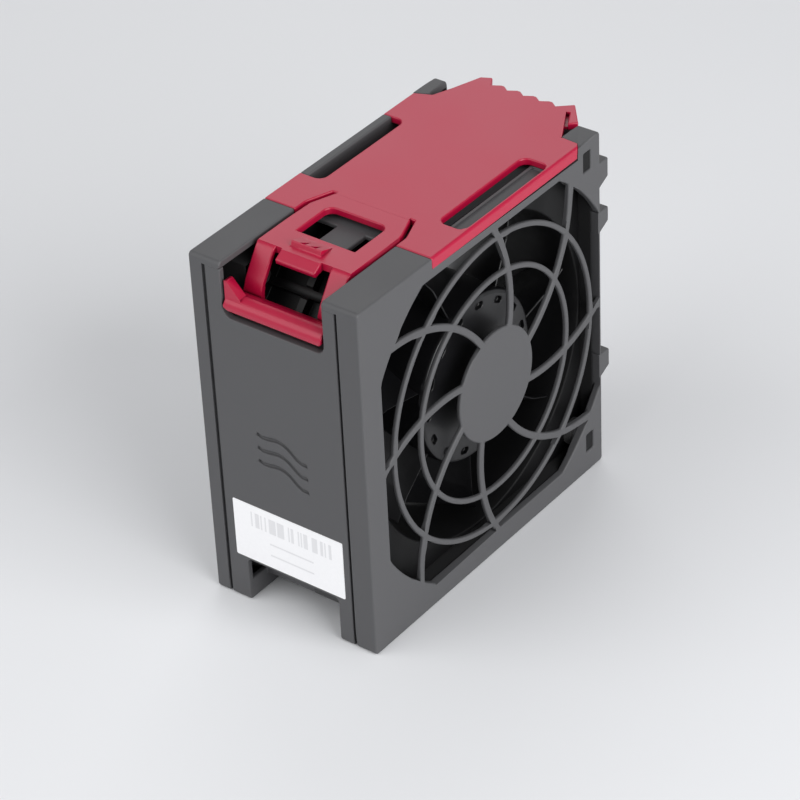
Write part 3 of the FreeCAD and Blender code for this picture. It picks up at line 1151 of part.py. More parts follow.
def isolator(x_face, x_seat, y, z):
    """A rubber bush: its stem fills a corner hole, its head bears on the cover's post."""
    towards = 1 if x_seat > x_face else -1
    head = round_bar(min(x_face, x_seat), max(x_face, x_seat), ISOLATOR_RADIUS, y, z)
    stem_end = x_face - towards * FLANGE_THICKNESS
    stem = round_bar(min(x_face, stem_end), max(x_face, stem_end), FAN_HOLE_RADIUS - ISOLATOR_PLAY, y, z)
    return head.fuse(stem)


def intake_isolators():
    """Bushes between the fan and the intake cover."""
    return Part.makeCompound([isolator(FAN_FACE, FAN_FACE + INTAKE_PAD, y, z) for y, z in isolator_places()])


def exhaust_isolators():
    """Bushes between the fan and the exhaust cover."""
    return Part.makeCompound([isolator(FAN_BACK, FAN_BACK - EXHAUST_PAD, y, z) for y, z in isolator_places()])


# ---------------------------------------------------------------- all pieces

def pieces():
    """Name and shape of every piece of the module."""
    return {
        "intake_cover": intake_cover(), "middle_frame": middle_frame(), "exhaust_cover": exhaust_cover(),
        "top_cover": top_cover(), "release_latch": release_latch(), "label_sticker": label_sticker(),
        "fan_frame": fan_frame(), "impeller": impeller(), "rotor_yoke": rotor_yoke(),
        "ring_magnet": ring_magnet(), "rotor_bush": rotor_bush(), "shaft": shaft(),
        "front_bearing_outer_ring": outer_ring(FRONT_BEARING_X),
        "front_bearing_inner_ring": inner_ring(FRONT_BEARING_X),
        "rear_bearing_outer_ring": outer_ring(REAR_BEARING_X),
        "rear_bearing_inner_ring": inner_ring(REAR_BEARING_X),
        "bearing_tube": bearing_tube(), "preload_spring": preload_spring(),
        "retaining_clip": retaining_clip(),
        "stator_core": stator_core(), "rear_insulator": stator_insulator(CORE_X - INSULATOR),
        "front_insulator": stator_insulator(CORE_X + CORE_LENGTH), "stator_coils": stator_coils(),
        "circuit_board": circuit_board(), "drive_chip": drive_chip(), "hall_sensor": hall_sensor(),
        "lead_wires": lead_wires(), "connector_housing": connector_housing(),
        "connector_contacts": connector_contacts(), "intake_isolators": intake_isolators(),
        "exhaust_isolators": exhaust_isolators(),
    }


def main():
    """Write one STEP file per piece."""
    os.makedirs("parts", exist_ok=True)
    for name, shape in pieces().items():
        solids = len(shape.Solids)
        triangles = len(shape.tessellate(0.1)[1])
        print(f"{name:28s} solids {solids:2d} valid {shape.isValid()} volume {shape.Volume:10.1f} "
              f"triangles {triangles}")
        shape.exportStep(f"parts/{name}.step")


main()
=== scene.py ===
# %% [markdown]
# # A hot-plug server fan module
# This lesson dresses a finished CAD model. We round their edges, add the small pieces that the CAD
# leaves out, and give every surface the finish of the plastic, metal or paper it is made of.

# %% Load the frame
import bmesh
import bpy
import math
from mathutils import Matrix, Vector
from mathutils.bvhtree import BVHTree
from mathutils.geometry import intersect_line_line_2d
from mathutils.kdtree import KDTree


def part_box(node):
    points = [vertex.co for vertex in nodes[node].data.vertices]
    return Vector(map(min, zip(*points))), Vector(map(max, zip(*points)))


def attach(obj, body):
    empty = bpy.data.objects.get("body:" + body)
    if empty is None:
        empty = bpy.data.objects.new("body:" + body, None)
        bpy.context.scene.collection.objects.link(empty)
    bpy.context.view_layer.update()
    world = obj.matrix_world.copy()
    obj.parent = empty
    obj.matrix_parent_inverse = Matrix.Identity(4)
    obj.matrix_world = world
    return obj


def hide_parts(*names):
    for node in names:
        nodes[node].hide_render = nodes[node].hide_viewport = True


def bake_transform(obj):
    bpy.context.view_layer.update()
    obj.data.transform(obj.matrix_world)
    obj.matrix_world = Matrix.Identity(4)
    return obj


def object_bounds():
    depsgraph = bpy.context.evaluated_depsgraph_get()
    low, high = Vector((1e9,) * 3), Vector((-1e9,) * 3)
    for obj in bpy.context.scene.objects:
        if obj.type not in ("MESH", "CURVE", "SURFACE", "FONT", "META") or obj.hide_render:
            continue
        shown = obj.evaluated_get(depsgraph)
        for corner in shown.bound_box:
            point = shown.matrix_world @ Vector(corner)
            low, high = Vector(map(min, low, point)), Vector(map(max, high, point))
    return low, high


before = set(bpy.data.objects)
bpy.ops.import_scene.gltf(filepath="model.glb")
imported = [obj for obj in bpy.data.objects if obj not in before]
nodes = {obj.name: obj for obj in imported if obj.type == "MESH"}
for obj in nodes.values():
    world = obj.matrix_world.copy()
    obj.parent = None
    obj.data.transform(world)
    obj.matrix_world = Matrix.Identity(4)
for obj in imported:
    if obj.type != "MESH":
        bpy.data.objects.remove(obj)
cad_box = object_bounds()
MM = 0.001
print("pieces loaded:", len(nodes))

# %% [markdown]
# ## Working by hand, in code
# Operators act on whatever is selected, and the loader leaves every part selected. So each step
# first clears the selection and then picks its one object. `in_edit_mode` runs a list of steps on
# the whole mesh of one object, as a modeller would after pressing Tab.

# %% Selection and edit mode
def pick(piece):
    """Make one object the only selected one, and the active one."""
    bpy.ops.object.select_all(action="DESELECT")
    piece.select_set(True)
    bpy.context.view_layer.objects.active = piece


def in_edit_mode(piece, *steps):
    """Run steps in edit mode with the whole mesh selected."""
    pick(piece)
    bpy.ops.object.mode_set(mode="EDIT")
    bpy.ops.mesh.select_all(action="SELECT")
    for step in steps:
        step()
    bpy.ops.object.mode_set(mode="OBJECT")


def settle(piece):
    """Move an object's place, turn and size into its mesh."""
    pick(piece)
    bpy.ops.object.transform_apply(location=True, rotation=True, scale=True)


# %% [markdown]
# ## Colours and nodes
# Colours are written as the hex values that a colour picker shows. Blender's shaders work with
# linear light, so one function converts them, and another makes a converted colour darker or paler.
# A third small function adds a node to a material, sets its options, and fills or links its inputs,
# which keeps each material readable.

# %% Colour and node helpers
def linear(hex_colour):
    """Turn an sRGB hex colour into the linear RGBA that shaders expect."""
    parts = [int(hex_colour[i:i + 2], 16) / 255 for i in (1, 3, 5)]
    return tuple(c / 12.92 if c <= 0.04045 else ((c + 0.055) / 1.055) ** 2.4 for c in parts) + (1.0,)


def shade_of(base, factor, lift=0.0):
    """A linear colour times a factor, with a little white light added."""
    return tuple(min(1.0, c * factor + lift) for c in base[:3]) + (1.0,)


def add(material, kind, inputs=None, **settings):
    """Add one node, set its options, and set or link its inputs."""
    tree = material.node_tree
    node = tree.nodes.new("ShaderNode" + kind)
    for name, value in settings.items():
        setattr(node, name, value)
    for socket, value in (inputs or {}).items():
        if isinstance(value, bpy.types.NodeSocket):
            tree.links.new(value, node.inputs[socket])
        else:
            node.inputs[socket].default_value = value
    return node


def blank(name):
    """A new material with an empty node tree and its output."""
    material = bpy.data.materials.new(name)
    material.use_nodes = True
    material.node_tree.nodes.clear()
    return material


def finish_with(material, shader):
    """Link a shader to the material's output."""
    output = add(material, "OutputMaterial")
    material.node_tree.links.new(shader.outputs[0], output.inputs["Surface"])
    return material


# %% [markdown]
# ## Moulded plastics
# The casing and the cover are injection-moulded ABS, the fan is glass-filled PBT. A spark-eroded
# mould leaves a fine even grain, so light breaks up softly on the casing. Grain of 0.1 mm is too
# fine to show here and is drawn at 0.3 mm. The glass fibres in the fan's frame roughen it, so it
# reflects less than the smooth ABS.
#
# Three more marks go on the plastic. The first is a faint cloudiness where the melt flowed, some
# centimetres wide. The second is a painted highlight along the edges, which also stands for the wear of
# handling: edges are drawn a little paler where the Bevel node says the surface turns nearby. The third is
# painted shade in seams and grooves: the Ambient Occlusion node says how closed in a place is within a
# millimetre, and closed places are drawn darker.

# %% Painted edge highlight, wear and groove shade on a moulding
FLOW_WIDTH = 28 * MM
RUBBED_HIGHLIGHT_WIDTH = 0.45 * MM
GROOVE_WIDTH = 1.0 * MM


def worn_and_painted_light(material, colour, base, polish_and_highlight, groove_shade):
    """A colour with a painted highlight on its edges, which also stands for rubbing, and painted shade in
    its grooves.
    """
    turned = add(material, "Bevel", {"Radius": RUBBED_HIGHLIGHT_WIDTH}, samples=4)
    facing = add(material, "NewGeometry")
    same = add(material, "VectorMath", {0: turned.outputs["Normal"], 1: facing.outputs["Normal"]},
               operation="DOT_PRODUCT")
    # Painted highlight: edges where the surface turns are drawn paler, which also stands for rubbing.
    edge = add(material, "MapRange", {"Value": same.outputs["Value"], "From Min": 1.0, "From Max": 0.75,
                                      "To Min": 0.0, "To Max": polish_and_highlight})
    rubbed_and_highlit = add(material, "Mix", {"Factor": edge.outputs["Result"], "A": colour,
                                   "B": shade_of(base, 1.5, 0.05)}, data_type="RGBA")
    # Painted shade: where seams and grooves are closed in, the colour is drawn darker.
    open_to = add(material, "AmbientOcclusion", {"Distance": GROOVE_WIDTH}, samples=8)
    painted_groove_shade = add(material, "MapRange", {"Value": open_to.outputs["AO"], "From Min": 0.35, "From Max": 0.75,
                                      "To Min": groove_shade, "To Max": 0.0})
    return add(material, "Mix", {"Factor": painted_groove_shade.outputs["Result"], "A": rubbed_and_highlit.outputs["Result"],
                                 "B": shade_of(base, 0.12)}, data_type="RGBA").outputs["Result"]


# %% Moulded plastic
def moulded(name, colour, roughness, grain, depth, cloud=0.06, polish_and_highlight=0.10, gloss=0.5, groove_shade=0.8):
    """Injection-moulded plastic: grain and its depth in mm; from 0 to 1 the cloudiness, the painted edge
    highlight, the gloss and the painted groove shade.
    """
    material = blank(name)
    base = linear(colour)
    place = add(material, "TexCoord").outputs["Object"]
    flow = add(material, "TexNoise", {"Vector": place, "Scale": 1 / FLOW_WIDTH, "Detail": 3.0})
    fine = add(material, "TexNoise", {"Vector": place, "Scale": 1 / (grain * MM), "Detail": 2.0,
                                      "Roughness": 0.6})
    clouded = add(material, "Mix", {"Factor": flow.outputs["Fac"], "A": shade_of(base, 1 - cloud),
                                    "B": shade_of(base, 1 + cloud)}, data_type="RGBA")
    shine = add(material, "MapRange", {"Value": flow.outputs["Fac"], "From Min": 0.3, "From Max": 0.7,
                                       "To Min": roughness - 0.04, "To Max": roughness + 0.04})
    bump = add(material, "Bump", {"Height": fine.outputs["Fac"], "Distance": depth * MM, "Strength": 0.6})
    tone = worn_and_painted_light(material, clouded.outputs["Result"], base, polish_and_highlight, groove_shade)
    shader = add(material, "BsdfPrincipled", {"Base Color": tone, "Roughness": shine.outputs["Result"],
                                              "Normal": bump.outputs["Normal"], "IOR": 1.53,
                                              "Specular IOR Level": gloss})
    return finish_with(material, shader)


casing_abs = moulded("casing_abs_textured", "#4D4D4F", 0.58, 0.30, 0.020, polish_and_highlight=0.20)
cover_abs = moulded("cover_abs_burgundy", "#AC0736", 0.34, 0.35, 0.006, polish_and_highlight=0.12)
frame_pbt = moulded("fan_frame_pbt_glass_filled", "#0A0A0B", 0.44, 0.35, 0.008, polish_and_highlight=0.03, gloss=0.22)
blade_pbt = moulded("impeller_pbt_gloss", "#0E0E10", 0.36, 0.80, 0.003, cloud=0.03, polish_and_highlight=0.0)
plug_nylon = moulded("plug_nylon_black", "#1B1B1C", 0.38, 0.30, 0.006)
insulator_nylon = moulded("insulator_nylon_natural", "#DDD9CB", 0.45, 0.40, 0.006)
chip_epoxy = moulded("chip_epoxy_moulded", "#202022", 0.55, 0.15, 0.008)
print("plastics:", casing_abs.name, cover_abs.name, frame_pbt.name, blade_pbt.name)

# %% [markdown]
# ## Rubber, foam and wire jackets
# The corner isolators are soft rubber: matt, slightly dusty, with a sheen at grazing angles. The gaskets
# and the nubs in the windows are closed-cell foam, quite matt, and drawn near-black as painted shade in the
# chamber and the windows. The lead wires have a smooth PVC jacket that shines more.

# %% Rubber, foam and PVC
def soft(name, colour, roughness, sheen):
    """Rubber, foam or PVC: one colour under a fine paler bloom, and some sheen."""
    material = blank(name)
    place = add(material, "TexCoord").outputs["Object"]
    bloom = add(material, "TexNoise", {"Vector": place, "Scale": 1 / (1.2 * MM), "Detail": 4.0})
    base = linear(colour)
    mix = add(material, "Mix", {"Factor": bloom.outputs["Fac"], "A": base,
                                "B": shade_of(base, 1.4, 0.003)}, data_type="RGBA")
    bump = add(material, "Bump", {"Height": bloom.outputs["Fac"], "Distance": 0.01 * MM, "Strength": 0.4})
    shader = add(material, "BsdfPrincipled", {"Base Color": mix.outputs["Result"], "Roughness": roughness,
                                              "Sheen Weight": sheen, "Normal": bump.outputs["Normal"]})
    return finish_with(material, shader)


isolator_rubber = soft("isolator_rubber_black", "#2A2A2A", 0.75, 0.25)
# Painted shade: this foam is drawn near-black, which also stands for the shade in the chamber and the
# windows.
foam_painted_shade = soft("foam_black_painted_shade", "#08080A", 0.95, 0.0)
wire_pvc = soft("wire_jacket_pvc", "#232326", 0.35, 0.0)
print("soft materials:", isolator_rubber.name, foam_painted_shade.name, wire_pvc.name)

# %% [markdown]
# ## Turned and drawn metals
# The shaft, bearings, bush and yoke are turned or drawn about the fan's axis, so their tool marks
# are rings round it. Object coordinates start under the module, so a Mapping node first moves them
# to the axis, whose height is read from the shaft's own box. Marks 0.2 mm apart are drawn 0.4 mm
# apart. A Wave texture at scale 1 repeats every 0.31 m, so its scale is that length divided by the
# spacing.

# %% Metals with marks round the axis
shaft_low, shaft_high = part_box("shaft")
AXIS = Vector((0.0, 0.0, (shaft_low[2] + shaft_high[2]) / 2))
WAVE_LENGTH = 0.31


def turned_metal(name, colour, roughness, spacing=0.4, depth=0.004):
    """Metal with fine rings round the fan's axis."""
    material = blank(name)
    place = add(material, "TexCoord").outputs["Object"]
    centred = add(material, "Mapping", {"Vector": place, "Location": -AXIS})
    rings = add(material, "TexWave", {"Vector": centred.outputs["Vector"],
                                      "Scale": WAVE_LENGTH / (spacing * MM), "Distortion": 0.6,
                                      "Detail": 2.0}, wave_type="RINGS", rings_direction="X")
    stain = add(material, "TexNoise", {"Vector": place, "Scale": 1 / (6 * MM), "Detail": 3.0})
    shine = add(material, "MapRange", {"Value": stain.outputs["Fac"], "From Min": 0.3, "From Max": 0.7,
                                       "To Min": roughness - 0.05, "To Max": roughness + 0.07})
    base = linear(colour)
    mix = add(material, "Mix", {"Factor": stain.outputs["Fac"], "A": base, "B": shade_of(base, 0.86)},
              data_type="RGBA")
    bump = add(material, "Bump", {"Height": rings.outputs["Fac"], "Distance": depth * MM, "Strength": 0.5})
    shader = add(material, "BsdfPrincipled", {"Base Color": mix.outputs["Result"], "Metallic": 1.0,
                                              "Roughness": shine.outputs["Result"],
                                              "Normal": bump.outputs["Normal"]})
    return finish_with(material, shader)


bearing_steel = turned_metal("bearing_steel_ground", "#D6D7DA", 0.18)
yoke_steel = turned_metal("yoke_steel_zinc_plated", "#BFC1C4", 0.32, spacing=0.8)
spring_steel = turned_metal("spring_steel_blued", "#7C8087", 0.30)
bush_brass = turned_metal("bush_brass_turned", "#D9B765", 0.25)
contact_brass = turned_metal("contact_brass_gold_flashed", "#E2C277", 0.22, spacing=0.6, depth=0.002)
print("metals round the axis at height", round(AXIS.z / MM, 2), "mm")

# %% [markdown]
# ## Stator and board
# The core is a stack of 0.5 mm steel sheets, so dark lines cross it every half millimetre along the
# axis. The windings are enamelled copper wire 0.4 mm thick: rings of ridges round each pole. The
# board is fibreglass under green solder resist, with paler tracks under it. The magnet is ferrite
# powder in a binder, dark and granular.

# %% Laminations and windings
def banded(name, colour, dark, spacing, metallic, roughness, depth, kind, direction):
    """Ridges a fixed distance apart, either in flat bands or in rings round the axis."""
    material = blank(name)
    place = add(material, "TexCoord").outputs["Object"]
    centred = add(material, "Mapping", {"Vector": place, "Location": -AXIS})
    options = {"wave_type": kind, ("rings_direction" if kind == "RINGS" else "bands_direction"): direction}
    wave = add(material, "TexWave", {"Vector": centred.outputs["Vector"],
                                     "Scale": WAVE_LENGTH / (spacing * MM), "Distortion": 0.0}, **options)
    mix = add(material, "Mix", {"Factor": wave.outputs["Fac"], "A": linear(dark), "B": linear(colour)},
              data_type="RGBA")
    bump = add(material, "Bump", {"Height": wave.outputs["Fac"], "Distance": depth * MM, "Strength": 0.8})
    shader = add(material, "BsdfPrincipled", {"Base Color": mix.outputs["Result"], "Metallic": metallic,
                                              "Roughness": roughness, "Normal": bump.outputs["Normal"]})
    return finish_with(material, shader)


core_steel = banded("core_laminations_steel", "#9A9C9F", "#3A3B3D", spacing=0.5, metallic=1.0,
                    roughness=0.38, depth=0.05, kind="BANDS", direction="X")
winding_copper = banded("winding_enamelled_copper", "#B5683A", "#5A2A16", spacing=0.4, metallic=0.9,
                        roughness=0.28, depth=0.15, kind="RINGS", direction="X")


# %% Board and magnet
def speckled(name, colour, fleck, size, roughness, depth):
    """Two tones in cells of one size, as tracks under solder resist or grains in a binder."""
    material = blank(name)
    place = add(material, "TexCoord").outputs["Object"]
    cells = add(material, "TexVoronoi", {"Vector": place, "Scale": 1 / (size * MM)},
                distance="MANHATTAN")
    tone = add(material, "MapRange", {"Value": cells.outputs["Distance"],
                                      "From Min": 0.35, "From Max": 0.45})
    mix = add(material, "Mix", {"Factor": tone.outputs["Result"], "A": linear(colour), "B": linear(fleck)},
              data_type="RGBA")
    bump = add(material, "Bump", {"Height": tone.outputs["Result"], "Distance": depth * MM,
                                  "Strength": 0.5})
    shader = add(material, "BsdfPrincipled", {"Base Color": mix.outputs["Result"], "Roughness": roughness,
                                              "Normal": bump.outputs["Normal"]})
    return finish_with(material, shader)


board_laminate = speckled("board_solder_resist_green", "#1E5A34", "#2C7A48", 2.2, 0.30, 0.03)
magnet_ferrite = speckled("magnet_bonded_ferrite", "#3A3A3C", "#2A2A2C", 0.5, 0.60, 0.01)
print("stator and board:", core_steel.name, winding_copper.name, board_laminate.name)

# %% [markdown]
# ## The label
# A coated paper label sits on the front face. It is bare but for a strip of plain bars and two thin
# rules, which stand for print and say nothing. The bars come from a White Noise node: the place
# across the label is cut into steps of 0.45 mm, and each step is printed or left blank by chance.
# Two ranges, across and up the label, keep the strip away from its edges.

# %% Label paper with plain bars
label_low, label_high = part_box("label_sticker")
LABEL_MIDDLE = [(a + b) / 2 for a, b in zip(label_low, label_high)]
LABEL_HALF = [(b - a) / 2 for a, b in zip(label_low, label_high)]
BAR_STEP = 0.45 * MM
PRINTED_SHARE = 0.55
RULE_HALF = 0.25 * MM


def between(material, value, middle, half):
    """1 where a value is within half of the middle, else 0."""
    return add(material, "Math", {0: value, 1: middle, 2: half}, operation="COMPARE").outputs[0]


def both(material, a, b):
    """1 where both values are 1."""
    return add(material, "Math", {0: a, 1: b}, operation="MULTIPLY").outputs[0]


def label_paper():
    """Coated paper with a strip of bars and two rules in pale grey ink."""
    material = blank("label_coated_paper")
    place = add(material, "TexCoord").outputs["Object"]
    split = add(material, "SeparateXYZ", {"Vector": place})
    across, up = split.outputs["X"], split.outputs["Z"]
    step = add(material, "Math", {0: across, 1: BAR_STEP}, operation="SNAP")
    chance = add(material, "TexWhiteNoise", {"W": step.outputs[0]}, noise_dimensions="1D")
    printed = add(material, "Math", {0: chance.outputs["Value"], 1: PRINTED_SHARE},
                  operation="LESS_THAN").outputs[0]
    wide = between(material, across, LABEL_MIDDLE[0] - 0.03 * LABEL_HALF[0], LABEL_HALF[0] * 0.84)
    tall = between(material, up, LABEL_MIDDLE[2] + LABEL_HALF[2] * 0.50, LABEL_HALF[2] * 0.26)
    bars = both(material, both(material, printed, wide), tall)
    short = between(material, across, LABEL_MIDDLE[0] + LABEL_HALF[0] * 0.05, LABEL_HALF[0] * 0.40)
    rules = [both(material, short, between(material, up, LABEL_MIDDLE[2] - LABEL_HALF[2] * drop, RULE_HALF))
             for drop in (0.15, 0.55)]
    ink = add(material, "Math", {0: bars, 1: rules[0]}, operation="MAXIMUM").outputs[0]
    ink = add(material, "Math", {0: ink, 1: rules[1]}, operation="MAXIMUM").outputs[0]
    fibre = add(material, "TexNoise", {"Vector": place, "Scale": 1 / (0.5 * MM), "Detail": 4.0})
    sheet = add(material, "Mix", {"Factor": fibre.outputs["Fac"], "A": linear("#FCFCFD"),
                                  "B": linear("#F4F4F6")}, data_type="RGBA")
    mix = add(material, "Mix", {"Factor": ink, "A": sheet.outputs["Result"], "B": linear("#E2E2E4")},
              data_type="RGBA")
    bump = add(material, "Bump", {"Height": fibre.outputs["Fac"], "Distance": 0.01 * MM, "Strength": 0.3})
    shader = add(material, "BsdfPrincipled", {"Base Color": mix.outputs["Result"], "Roughness": 0.42,
                                              "Normal": bump.outputs["Normal"]})
    return finish_with(material, shader)


paper = label_paper()
print("label:", [round(2 * h / MM, 1) for h in LABEL_HALF], "mm")

# %% [markdown]
# ## Which part gets which finish
# Each CAD part keeps its shape and takes one finish. A table of names is easier to check than
# thirty assignments, so the parts are listed under their material.

# %% Finish every part
FINISHES = (
    (casing_abs, ("intake_cover", "middle_frame", "exhaust_cover")),
    (cover_abs, ("top_cover", "release_latch")),
    (paper, ("label_sticker",)),
    (frame_pbt, ("fan_frame",)),
    (blade_pbt, ("impeller",)),
    (yoke_steel, ("rotor_yoke",)),
    (magnet_ferrite, ("ring_magnet",)),
    (bush_brass, ("rotor_bush", "bearing_tube")),
    (bearing_steel, ("shaft", "front_bearing_outer_ring", "front_bearing_inner_ring",
                     "rear_bearing_outer_ring", "rear_bearing_inner_ring")),
    (spring_steel, ("preload_spring", "retaining_clip")),
    (core_steel, ("stator_core",)),
    (insulator_nylon, ("front_insulator", "rear_insulator")),
    (winding_copper, ("stator_coils",)),
    (board_laminate, ("circuit_board",)),
    (chip_epoxy, ("drive_chip", "hall_sensor")),
    (wire_pvc, ("lead_wires",)),
    (plug_nylon, ("connector_housing",)),
    (contact_brass, ("connector_contacts",)),
    (isolator_rubber, ("intake_isolators", "exhaust_isolators")))


def give(piece, material):
    """Make one material the only one of a piece."""
    piece.data.materials.clear()
    piece.data.materials.append(material)


for material, names in FINISHES:
    for name in names:
        give(nodes[name], material)
bare = sorted(set(nodes) - {name for _, names in FINISHES for name in names})
print("parts without a finish:", bare)

# %% [markdown]
# ## Rounded edges on the mouldings
# A mould never makes a truly sharp edge: its corners have a radius of a few tenths of a millimetre,
# and the highlight that runs along it is what makes a moulding look solid. The CAD's edges are
# sharp. Each visible moulding is therefore copied, its loose triangles are merged into clean faces,
# and a Bevel modifier rounds every edge that turns by more than 32 degrees. The copy then stands
# for the CAD part, which stays as it is for collision.
#
# One radius doesn't suit every edge: on a rib thinner than the radius the two bevels would cross.
# Bevel can clamp itself, but then one short edge makes every bevel small. So each edge gets its own
# bevel weight, from the room on the two faces beside it and at its two corners, and the modifier
# reads that weight.

# %% How much room an edge has
SHARP = math.radians(32)
STRAIGHT_ON = -0.75
ROOM_SHARE = 0.42
LEAST_WEIGHT = 0.35


def reach(edge, face):
    """How far a face extends from the line of one of its edges."""
    start = edge.verts[0].co
    along = (edge.verts[1].co - start).normalized()
    return max(((v.co - start) - along * (v.co - start).dot(along)).length for v in face.verts)


def room_at(edge, corner):
    """The shortest way out of a corner beside an edge, leaving out the edge's own straight run."""
    ahead = (edge.other_vert(corner).co - corner.co).normalized()
    ways = [other.other_vert(corner).co - corner.co for other in corner.link_edges if other is not edge]
    rooms = [way.length * math.sin(way.angle(ahead)) if way.dot(ahead) > 0 else way.length
             for way in ways if way.length > 0 and math.cos(way.angle(ahead)) > STRAIGHT_ON]
    return min(rooms, default=1.0)


def weigh_edges(mesh, radius):
    """Write each sharp edge's share of the radius into the mesh's bevel weights."""
    shape = bmesh.new()
    shape.from_mesh(mesh)
    weight = shape.edges.layers.float.new("bevel_weight_edge")
    for edge in shape.edges:
        if len(edge.link_faces) == 2 and edge.calc_face_angle(0.0) > SHARP:
            rooms = [reach(edge, face) for face in edge.link_faces] + [room_at(edge, v) for v in edge.verts]
            share = min(1.0, ROOM_SHARE * min(rooms) / radius)
            edge[weight] = share if share > LEAST_WEIGHT else 0.0
    shape.to_mesh(mesh)
    shape.free()


# %% [markdown]
# ## A bevel that checks itself
# Where several small edges meet, a bevel can still fold over. Three signs give it away: a point
# that lies too far from the CAD's surface, a small face that looks the wrong way, and a many-sided
# face whose outline crosses itself. The edges near such a place lose their weight and the bevel is
# made again, until nothing is spoiled, five times at most. A few small corners stay sharp. How far a
# point may stray and how wide a place is cleared are shares of the radius.

# %% Find and clear what a bevel spoiled
FOLDED = 1.0005
TURNED_OVER = -0.2
LEAST_AREA = 1e-10


def crossings(mesh, face):
    """Ends of the short sides where a many-sided face's outline crosses itself."""
    corners = [mesh.vertices[i].co.copy() for i in face.vertices]
    across = (corners[1] - corners[0]).normalized()
    upward = face.normal.cross(across)
    flat = [Vector(((c - corners[0]).dot(across), (c - corners[0]).dot(upward))) for c in corners]
    count, found = len(flat), []
    sides = [(flat[i], flat[(i + 1) % count]) for i in range(count)]
    for i in range(count):
        for j in range(i + 2, count):
            if (j + 1) % count != i and intersect_line_line_2d(*sides[i], *sides[j]):
                short = min(i, j, key=lambda k: (sides[k][1] - sides[k][0]).length)
                found += [corners[short], corners[(short + 1) % count]]
    return found


def spoiled(mesh, surface, limit):
    """Points where a bevel left the surface, turned a face over or crossed an outline."""
    points = [v.co.copy() for v in mesh.vertices if surface.find_nearest(v.co)[3] > limit]
    mesh.calc_loop_triangles()
    covered = [0.0] * len(mesh.polygons)
    for triangle in mesh.loop_triangles:
        covered[triangle.polygon_index] += triangle.area
    for face in mesh.polygons:
        if len(face.vertices) > 4:
            if covered[face.index] > face.area * FOLDED:
                points += crossings(mesh, face)
        elif face.area > LEAST_AREA and face.normal.dot(surface.find_nearest(face.center)[1]) < TURNED_OVER:
            points += [mesh.vertices[i].co.copy() for i in face.vertices]
    return points


def leave_sharp(mesh, points, distance):
    """Clear the bevel weight of edges near any of the points."""
    near = KDTree(len(points))
    for i, point in enumerate(points):
        near.insert(point, i)
    near.balance()
    weights = mesh.attributes["bevel_weight_edge"].data
    for edge in mesh.edges:
        a, b = (mesh.vertices[i].co for i in edge.vertices)
        if min(near.find(p)[2] for p in (a, b, (a + b) / 2)) < distance:
            weights[edge.index].value = 0.0


# %% Copy a moulding and round its edges
TRIES = 5
WELD, FLAT = 0.002 * MM, math.radians(0.6)
STRAY_SHARE, CLEAR_SHARE = 0.45, 1.6


def bevelled(piece, radius, segments):
    """A copy of a weighted mesh with its bevel applied."""
    pick(piece)
    bpy.ops.object.duplicate()
    copy = bpy.context.view_layer.objects.active
    bevel = copy.modifiers.new("edge_round", "BEVEL")
    bevel.width = radius
    bevel.segments = segments
    bevel.limit_method = "WEIGHT"
    bevel.use_clamp_overlap = False
    bevel.loop_slide = False
    bpy.ops.object.modifier_apply(modifier=bevel.name)
    return copy


def even_faces(piece):
    """Let the large faces set the normals, so that they shade flat up to their rounded edges."""
    even = piece.modifiers.new("even_faces", "WEIGHTED_NORMAL")
    even.weight = 100
    even.keep_sharp = True
    pick(piece)
    bpy.ops.object.modifier_apply(modifier=even.name)


def rounded(name, radius, segments, body, reshape=None):
    """A copy of a CAD part, reshaped if need be, with its edges rounded to a radius in mm."""
    pick(nodes[name])
    bpy.ops.object.duplicate()
    plain = bpy.context.view_layer.objects.active
    in_edit_mode(plain, lambda: bpy.ops.mesh.remove_doubles(threshold=WELD),
                 lambda: bpy.ops.mesh.dissolve_limited(angle_limit=FLAT))
    if reshape:
        reshape(plain)
        pick(plain)
    weigh_edges(plain.data, radius * MM)
    bpy.ops.object.shade_smooth_by_angle(angle=SHARP)
    plain.data.calc_loop_triangles()
    surface = BVHTree.FromPolygons([v.co for v in plain.data.vertices],
                                   [t.vertices for t in plain.data.loop_triangles])
    for attempt in range(TRIES):
        copy = bevelled(plain, radius * MM, segments)
        points = spoiled(copy.data, surface, STRAY_SHARE * radius * MM)
        if not points or attempt == TRIES - 1:
            break
        leave_sharp(plain.data, points, CLEAR_SHARE * radius * MM)
        bpy.data.objects.remove(copy)
    bpy.data.objects.remove(plain)
    copy.name = name + "_rounded"
    even_faces(copy)
    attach(copy, body)
    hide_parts(name)
    print(copy.name, len(copy.data.polygons), "faces, bevelled", attempt + 1, "times,",
          len(points), "spoiled points")
    return copy


# %% [markdown]
# ## Six mouldings
# Merging triangles can leave a face shaped like a ring, whose two outlines hang together by one
# doubled edge. Blender may fill such a face right across its hole, and a ring round the duct would
# close it. So the fan's frame is cut in quarters along two planes through the axis, before its edges
# are weighed. The radius grows with the size of the moulding.

# %% Round six mouldings
def quarter(piece):
    """Cut a piece's faces along two planes through the fan's axis, so that none of them is a ring."""
    for normal in ((0, 1, 0), (0, 0, 1)):
        in_edit_mode(piece, lambda: bpy.ops.mesh.bisect(plane_co=AXIS, plane_no=normal, threshold=1e-7))


MOULDINGS = (("intake_cover", 0.42, 3, "casing", None), ("exhaust_cover", 0.42, 3, "casing", None),
             ("middle_frame", 0.35, 3, "casing", None), ("top_cover", 0.35, 3, "casing", None),
             ("fan_frame", 0.25, 2, "casing", quarter), ("impeller", 0.12, 2, "rotor", None))
for moulding in MOULDINGS:
    rounded(*moulding)

